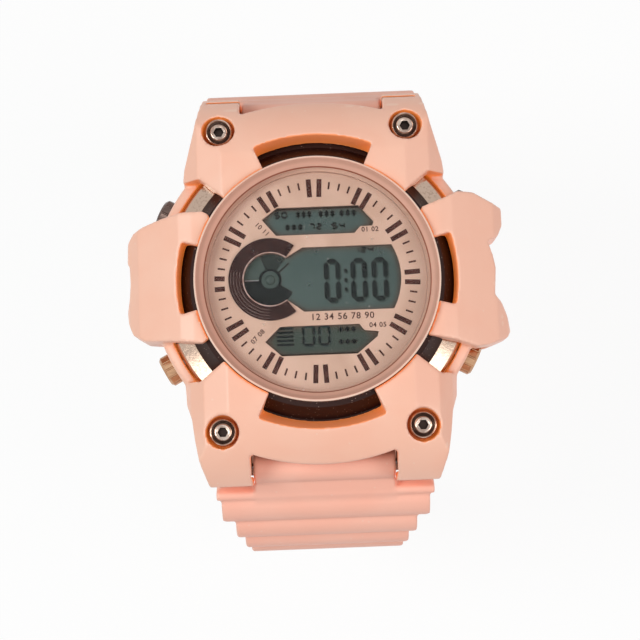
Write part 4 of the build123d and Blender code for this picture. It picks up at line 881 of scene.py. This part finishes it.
dialPrint = {
    "print": 0.02, "hours": 12, "minutesBetween": 3, "minuteTurn": 6.0, "minuteWidth": 0.26,
    "minuteFrom": 13.2, "minuteTo": 14.25, "pairTurn": 3.1, "pairFrom": 12.0, "pairTo": 14.6,
    "pairWidth": 0.7, "rightFrom": 12.4, "leftFrom": 13.15, "edge": (15.1, 15.57), "edgeParts": 4,
}


def printDialMarks():
    v = dialPrint
    pairs, minutes = [], []
    for hour in range(v["hours"]):
        turn = hour * 360 / v["hours"]
        # The pairs at 3 and 9 are shorter, beside the display and the small dial
        inner = {0: v["rightFrom"], 180: v["leftFrom"]}.get(turn, v["pairFrom"])
        for side in (-v["pairTurn"], v["pairTurn"]):
            pairs.append(straightMark(inner, v["pairTo"], v["pairWidth"], turn + side))
        for step in range(1, v["minutesBetween"] + 1):
            at = turn + v["pairTurn"] + step * v["minuteTurn"]
            minutes.append(straightMark(v["minuteFrom"], v["minuteTo"], v["minuteWidth"], at))
    for name, marks in (("dial_hour_pairs", pairs), ("dial_minute_marks", minutes)):
        layPrint(name, marks, dialTop, v["print"], inks["brown"])
    edge = roundBands(*v["edge"], (0.0, 0.0), v["edgeParts"])
    lacquer = slotFinishes["dial_brown"]
    layPrint("dial_edge_lacquer", edge, dialTop, v["print"], lacquer)


printDialMarks()

numberPrint = {
    "rise": 0.004, "swell": 0.02, "spacing": 1.14,
    "signs": [  # text, size, x, y, turn
        ("12 34 56 78 90", 1.28, 3.35, -5.25, 0.0),
        ("10 11", 0.95, -7.6, 7.6, -45.0),
        ("01 02", 0.95, 7.75, 7.05, 0.0),
        ("07 08", 0.95, -8.7, -7.7, 45.0),
        ("04 05", 0.95, 8.3, -6.65, 0.0),
    ],
}


def printDialNumbers():
    v = numberPrint
    work = bmesh.new()
    for text, size, x, y, turn in v["signs"]:
        curve = bpy.data.curves.new("sign", "FONT")
        curve.body = text
        curve.size = size * mm
        curve.align_x = "CENTER"
        curve.align_y = "CENTER"
        curve.extrude = v["rise"] * mm
        curve.offset = v["swell"] * mm
        curve.space_character = v["spacing"]
        holder = bpy.data.objects.new("sign", curve)
        collection.objects.link(holder)
        mesh = bakedMesh(holder)
        spot = Vector((x, y, dialTop + v["rise"])) * mm
        mesh.transform(Matrix.Translation(spot) @ Matrix.Rotation(math.radians(turn), 4, "Z"))
        work.from_mesh(mesh)
        bpy.data.objects.remove(holder)
    mesh = meshFrom(work, "dial_numbers")
    addPiece("dial_numbers", mesh, "head", inks["brown"])


printDialNumbers()

sevenParts = {  # segments that each digit lights, a at the top and on clockwise, g in the middle
    "0": "abcdef", "1": "bc", "2": "abdeg", "3": "abcdg", "4": "bcfg",
    "5": "acdfg", "6": "acdefg", "7": "abc", "8": "abcdefg", "9": "abcdfg",
}
displayPrint = {
    "print": 0.015, "shadowShift": (0.16, -0.2),
    "main": {"line": 0.7, "gap": 0.07, "bottom": -3.15, "top": 3.1},
    "mainDigits": [("0", 0.95, 3.3), ("0", 4.75, 7.1), ("0", 7.75, 10.1)],
    "colon": [(4.05, 1.35), (4.05, 0.0), (4.05, -1.35)], "colonSize": (0.42, 0.52),
    "small": {"line": 0.4, "gap": 0.05, "bottom": -9.3, "top": -6.2},
    "smallDigits": [("0", -2.5, -0.6), ("0", -0.2, 1.55)],
    "bars": {"left": -6.05, "right": -3.65, "top": -6.45, "pitch": 0.58, "tall": 0.36, "count": 5},
    "block": "888", "bold": 1.35, "between": 0.1, "signGap": 0.01,
    "rows": [  # top, bottom, line width, then each sign with its left and right
        (10.2, 9.1, 0.31, [
            ("50", -5.9, -3.9), ("888", -2.75, -0.45), ("888", 0.45, 2.9), ("888", 3.45, 5.95)]),
        (8.35, 7.35, 0.28, [("888", -4.35, -1.75), ("72", -0.95, 1.0), ("54", 2.25, 4.3)]),
        (4.7, 3.8, 0.25, [("124", 5.25, 8.2)]),
        (-6.65, -7.45, 0.25, [("888", 2.65, 5.25)]),
        (-8.4, -9.2, 0.25, [("888", 2.65, 5.25)]),
    ],
}


def segmentOutline(x0, y0, x1, y1, half, gap):
    start, stop = Vector((x0, y0)), Vector((x1, y1))
    along = (stop - start).normalized()
    across = Vector((-along.y, along.x)) * half
    start, stop, lead = start + along * gap, stop - along * gap, along * half
    return [
        start, start + lead - across, stop - lead - across,
        stop, stop - lead + across, start + lead + across]


def digitOutlines(sign, left, right, bottom, top, line, gap):
    half = line / 2
    x0, x1 = left + half, right - half
    y0, y1, y2 = bottom + half, (bottom + top) / 2, top - half
    spans = {
        "a": (x0, y2, x1, y2), "b": (x1, y1, x1, y2), "c": (x1, y0, x1, y1),
        "d": (x0, y0, x1, y0), "e": (x0, y0, x0, y1), "f": (x0, y1, x0, y2),
        "g": (x0, y1, x1, y1),
    }
    return [segmentOutline(*spans[part], half, gap) for part in sevenParts[sign]]


def boxOutline(left, right, bottom, top):
    return [(left, bottom), (right, bottom), (right, top), (left, top)]


def signOutlines(word, left, right, bottom, top, line):
    v = displayPrint
    each = (right - left - v["between"] * (len(word) - 1)) / len(word)
    thick = line * v["bold"] if word == v["block"] else line
    outlines = []
    for index, sign in enumerate(word):
        start = left + index * (each + v["between"])
        outlines += digitOutlines(sign, start, start + each, bottom, top, thick, v["signGap"])
    return outlines


def printDisplay():
    v = displayPrint
    large, small = [], []
    for sign, left, right in v["mainDigits"]:
        large += digitOutlines(sign, left, right, **v["main"])
    wide, tall = v["colonSize"]
    for x, y in v["colon"]:
        large.append(boxOutline(x - wide / 2, x + wide / 2, y - tall / 2, y + tall / 2))
    for sign, left, right in v["smallDigits"]:
        large += digitOutlines(sign, left, right, **v["small"])
    bars = v["bars"]
    for index in range(bars["count"]):
        top = bars["top"] - index * bars["pitch"]
        small.append(boxOutline(bars["left"], bars["right"], top - bars["tall"], top))
    for top, bottom, line, words in v["rows"]:
        for word, left, right in words:
            small += signOutlines(word, left, right, bottom, top, line)
    shift = Vector(v["shadowShift"])
    cast = [[Vector(point) + shift for point in outline] for outline in large]
    layer = v["print"]
    layPrint("display_digit_shadows", cast, cellTop, layer, inks["shadow"])
    layPrint("display_digits", large, cellTop, 2 * layer, inks["segment"])
    layPrint("display_small_signs", small, cellTop, 2 * layer, inks["segment"])


printDisplay()

smallDial = {
    "centre": (-6.7, 0.4), "radius": 3.7, "hubFrom": 1.25, "hubTo": 1.62, "print": 0.03,
    "sectors": {"night": [(183, 253), (257, 326)], "dusk": [(112, 177)], "gloom": [(54, 108)]},
    "spokes": [(110, 0.16), (40, 0.2), (-32, 0.2), (255, 0.16)], "needle": (180, 0.12),
    "spokeFrom": 1.6, "spokeTo": 3.6, "ballRadius": 0.72, "ballRise": 0.45, "ballSteps": 6,
    "edge": (3.76, 3.9), "opening": 53, "arcSpan": (165, 268),
    "arcs": [(4.3, 4.42), (4.72, 4.84), (5.14, 5.26), (5.56, 5.66)],
}


def latheMesh(name, profile, centre, steps=48):
    work = bmesh.new()
    rings = []
    for radius, height in profile:
        spots = [polar(radius, 360 * index / steps, centre) for index in range(steps)]
        rings.append([work.verts.new((x * mm, y * mm, height * mm)) for x, y in spots])
    for lower, upper in zip(rings, rings[1:]):
        for index in range(steps):
            after = (index + 1) % steps
            work.faces.new((lower[index], lower[after], upper[after], upper[index]))
    work.faces.new(rings[0][::-1])
    work.faces.new(rings[-1])
    bmesh.ops.recalc_face_normals(work, faces=work.faces)
    mesh = meshFrom(work, name)
    shadeSmooth(mesh)
    return mesh


def buildSmallDial():
    v = smallDial
    centre, layer = v["centre"], v["print"]
    for ink, spans in v["sectors"].items():
        sectors = [arcBand(v["hubTo"], v["radius"], *span, centre) for span in spans]
        name = f"small_dial_{ink}_sectors"
        layPrint(name, sectors, cellTop, layer, inks[ink])
    reach = (v["spokeFrom"], v["spokeTo"])
    spokes = [straightMark(*reach, width, turn, centre) for turn, width in v["spokes"]]
    layPrint("small_dial_spokes", spokes, cellTop, 2 * layer, inks["night"])
    turn, width = v["needle"]
    needle = [straightMark(*reach, width, turn, centre)]
    layPrint("small_dial_needle", needle, cellTop, 2 * layer, inks["line"])
    hub = roundBands(v["hubFrom"], v["hubTo"], centre, 2)
    layPrint("small_dial_hub", hub, cellTop, 3 * layer, inks["night"])
    disc = roundBands(0.0, v["hubFrom"], centre, 3)
    layPrint("small_dial_centre", disc, cellTop, layer, inks["dusk"])
    steps = v["ballSteps"]
    quarter = [math.radians(90 * index / steps) for index in range(steps)]
    dome = [
        (v["ballRadius"] * math.cos(turn), cellTop + v["ballRise"] * math.sin(turn))
        for turn in quarter]
    ball = latheMesh("small_dial_ball", dome, centre)
    addPiece("small_dial_ball", ball, "head", inks["dusk"])
    half = 180 - v["opening"]
    edge = [arcBand(*v["edge"], start, start + half, centre) for start in (v["opening"], 180)]
    layPrint("crescent_edge_line", edge, crescentTop, layer, inks["pale"])
    arcs = [arcBand(*arc, *v["arcSpan"], centre) for arc in v["arcs"]]
    layPrint("crescent_fine_arcs", arcs, crescentTop, layer / 2, inks["arc"])


buildSmallDial()
print("dial print and display signs laid")


# Shroud screws, turned and with a hex socket

screwShape = {
    "places": [(13.35, 21.9), (-13.35, 21.9), (14.05, -20.95), (-14.05, -20.95)],
    "shank": 0.8, "seat": 1.5, "socket": 0.75, "socketDepth": 0.8, "socketRim": 0.02,
    "steps": 48, "sharp": 40.0,
    "head": [  # radius and drop below the top, from the edge inwards
        (1.95, 0.3), (1.92, 0.16), (1.84, 0.05), (1.75, 0.02), (1.68, 0.08), (1.62, 0.24),
        (1.54, 0.38), (1.42, 0.44), (1.31, 0.38), (1.24, 0.24), (1.17, 0.1), (1.07, 0.02),
        (0.95, 0.0), (0.86, 0.03)],
}


def hexRadius(radius, degrees):
    return radius * math.cos(math.radians(30)) / math.cos(math.radians(degrees % 60 - 30))


def screwSections(low, high):
    v = screwShape
    seat = high - v["seat"]
    outer = v["head"][0][0]
    socketTop = v["head"][-1][1] + v["socketRim"]
    sections = [(0.0, low, False), (v["shank"], low, False), (v["shank"], seat, False)]
    sections += [(outer, seat, False)]
    sections += [(radius, high - drop, False) for radius, drop in v["head"]]
    sections += [(v["socket"], high - drop, True) for drop in (socketTop, v["socketDepth"])]
    return sections + [(0.0, high - v["socketDepth"], False)]


def turnScrews():
    v = screwShape
    low, high = (corner.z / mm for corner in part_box("shroud_screws"))
    sections = screwSections(low, high)
    turns = [360 * index / v["steps"] for index in range(v["steps"])]
    work = bmesh.new()
    for centre in v["places"]:
        rings = []
        for radius, height, isHex in sections:
            reach = [hexRadius(radius, turn) if isHex else radius for turn in turns]
            spots = [polar(reach[index], turn, centre) for index, turn in enumerate(turns)]
            if radius == 0.0:
                spots = spots[:1]
            rings.append([work.verts.new((x * mm, y * mm, height * mm)) for x, y in spots])
        for inner, outer in zip(rings, rings[1:]):
            for index in range(v["steps"]):
                after = (index + 1) % v["steps"]
                corners = [
                    inner[index % len(inner)], inner[after % len(inner)],
                    outer[after % len(outer)], outer[index % len(outer)]]
                work.faces.new(list(dict.fromkeys(corners)))
    bmesh.ops.recalc_face_normals(work, faces=work.faces)
    for edge in work.edges:
        edge.smooth = edge.calc_face_angle(0.0) < math.radians(v["sharp"])
    mesh = meshFrom(work, "turned_shroud_screws")
    shadeSmooth(mesh)
    finish = slotFinishes["bright_screws"]
    piece = addPiece("turned_shroud_screws", mesh, "head", finish)
    # Socket faces get the near-black finish: painted shade in the hex recess
    mesh.materials.append(socketPaintedShade)
    for face in mesh.polygons:
        spot = face.center / mm
        away = min(math.dist((spot.x, spot.y), centre) for centre in v["places"])
        face.material_index = int(away < v["socket"] and spot.z < high - v["head"][-1][1])
    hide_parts("shroud_screws")
    print("shroud screws turned with", len(mesh.polygons), "faces")


turnScrews()


# Floor, world, lamps and camera

floorValues = {"half": 2.5, "squares": 8, "color": (0.9, 0.9, 0.9), "white": 0.9}
worldValues = {"level": 0.33}  # light on the object, where the view of the world itself is white


def whenSeen(tree):
    # The camera, reflections and the view through glass all see plain white
    rays = addNode(tree, "ShaderNodeLightPath").outputs
    seen = larger(tree, rays["Is Camera Ray"], rays["Is Glossy Ray"])
    return larger(tree, seen, rays["Is Transmission Ray"])


def layFloor():
    v = floorValues
    work = bmesh.new()
    bmesh.ops.create_grid(
        work, x_segments=v["squares"], y_segments=v["squares"], size=v["half"])
    mesh = meshFrom(work, "pale_floor")
    floor = bpy.data.objects.new("pale_floor", mesh)
    collection.objects.link(floor)
    floor.location.z = floorLevel * mm
    material = bpy.data.materials.new("pale_floor")
    material.use_nodes = True
    tree = material.node_tree
    tree.nodes.clear()
    paint = addNode(tree, "ShaderNodeBsdfDiffuse", {"Color": v["color"]}).outputs[0]
    glow = addNode(tree, "ShaderNodeEmission", {"Strength": 1.0}).outputs[0]
    share = times(tree, whenSeen(tree), v["white"])
    mixed = addNode(tree, "ShaderNodeMixShader", {0: share, 1: paint, 2: glow}).outputs[0]
    addNode(tree, "ShaderNodeOutputMaterial", {"Surface": mixed})
    mesh.materials.append(material)


def lightWorld():
    level = worldValues["level"]
    world = bpy.data.worlds.new("pale_world")
    bpy.context.scene.world = world
    world.use_nodes = True
    tree = world.node_tree
    tree.nodes.clear()
    strength = plus(tree, times(tree, whenSeen(tree), 1.0 - level), level)
    inputs = {"Color": (1.0, 1.0, 1.0), "Strength": strength}
    back = addNode(tree, "ShaderNodeBackground", inputs).outputs[0]
    addNode(tree, "ShaderNodeOutputWorld", {"Surface": back})


lampValues = {
    "key": {
        "place": (-330, 0, 400), "size": (210, 210), "watts": 1.4, "color": (0.92, 1.0, 0.98),
    },
    "fill": {
        "place": (310, -110, 330), "size": (260, 260), "watts": 0.85, "color": (1.0, 0.92, 0.88),
    },
    # What the lower windows of the plated shoulder reflect towards the camera
    "leftShine": {
        "place": (-119, -56, 450), "size": (80, 70), "watts": 0.055, "color": (1.0, 0.97, 0.93),
    },
    "rightShine": {
        "place": (119, -56, 450), "size": (80, 70), "watts": 0.055, "color": (1.0, 0.97, 0.93),
    },
}


def hangLamp(name, v):
    data = bpy.data.lights.new(name, "AREA")
    data.shape = "RECTANGLE"
    data.size, data.size_y = (side * mm for side in v["size"])
    data.energy = v["watts"]
    data.color = v["color"]
    lamp = bpy.data.objects.new(name, data)
    collection.objects.link(lamp)
    lamp.location = Vector(v["place"]) * mm
    lamp.rotation_euler = (-lamp.location).to_track_quat("-Z", "Y").to_euler()


cameraValues = {  # the photograph's angle, from the glass ring's place and width in it
    "image": 640, "sensor": 36.0, "ringPixels": 248.0, "ringWidth": 34.6,
    "ringCentre": (317.3, 277.2), "distance": 200.0, "tilt": 8.0, "roll": 2.2,
    "clip": (0.01, 20.0),
}


def placeCamera():
    v = cameraValues
    tilt, roll = math.radians(v["tilt"]), math.radians(v["roll"])
    focal = v["ringPixels"] / v["ringWidth"] * v["distance"]
    forward = Vector((0.0, math.sin(tilt), -math.cos(tilt)))
    right = Vector((1.0, 0.0, 0.0))
    up = right.cross(forward)
    eye = Vector((0.0, 0.0, ringTop)) - forward * v["distance"]
    turnedRight = right * math.cos(roll) - up * math.sin(roll)
    turnedUp = right * math.sin(roll) + up * math.cos(roll)
    middle = v["image"] / 2
    x, y = v["ringCentre"]
    aim = forward * focal + turnedRight * (middle - x) + turnedUp * (y - middle)
    back = -aim.normalized()
    side = turnedUp.cross(back).normalized()
    data = bpy.data.cameras.new("photo_camera")
    data.sensor_width = v["sensor"]
    data.lens = focal / v["image"] * v["sensor"]
    data.clip_start, data.clip_end = v["clip"]
    camera = bpy.data.objects.new("photo_camera", data)
    collection.objects.link(camera)
    turn = Matrix((side, back.cross(side), back)).transposed().to_4x4()
    camera.matrix_world = Matrix.Translation(eye * mm) @ turn
    bpy.context.scene.camera = camera


layFloor()
lightWorld()
for name, values in lampValues.items():
    hangLamp(name, values)
placeCamera()
bpy.context.scene.view_settings.view_transform = "Standard"
print("floor, lamps and camera set")
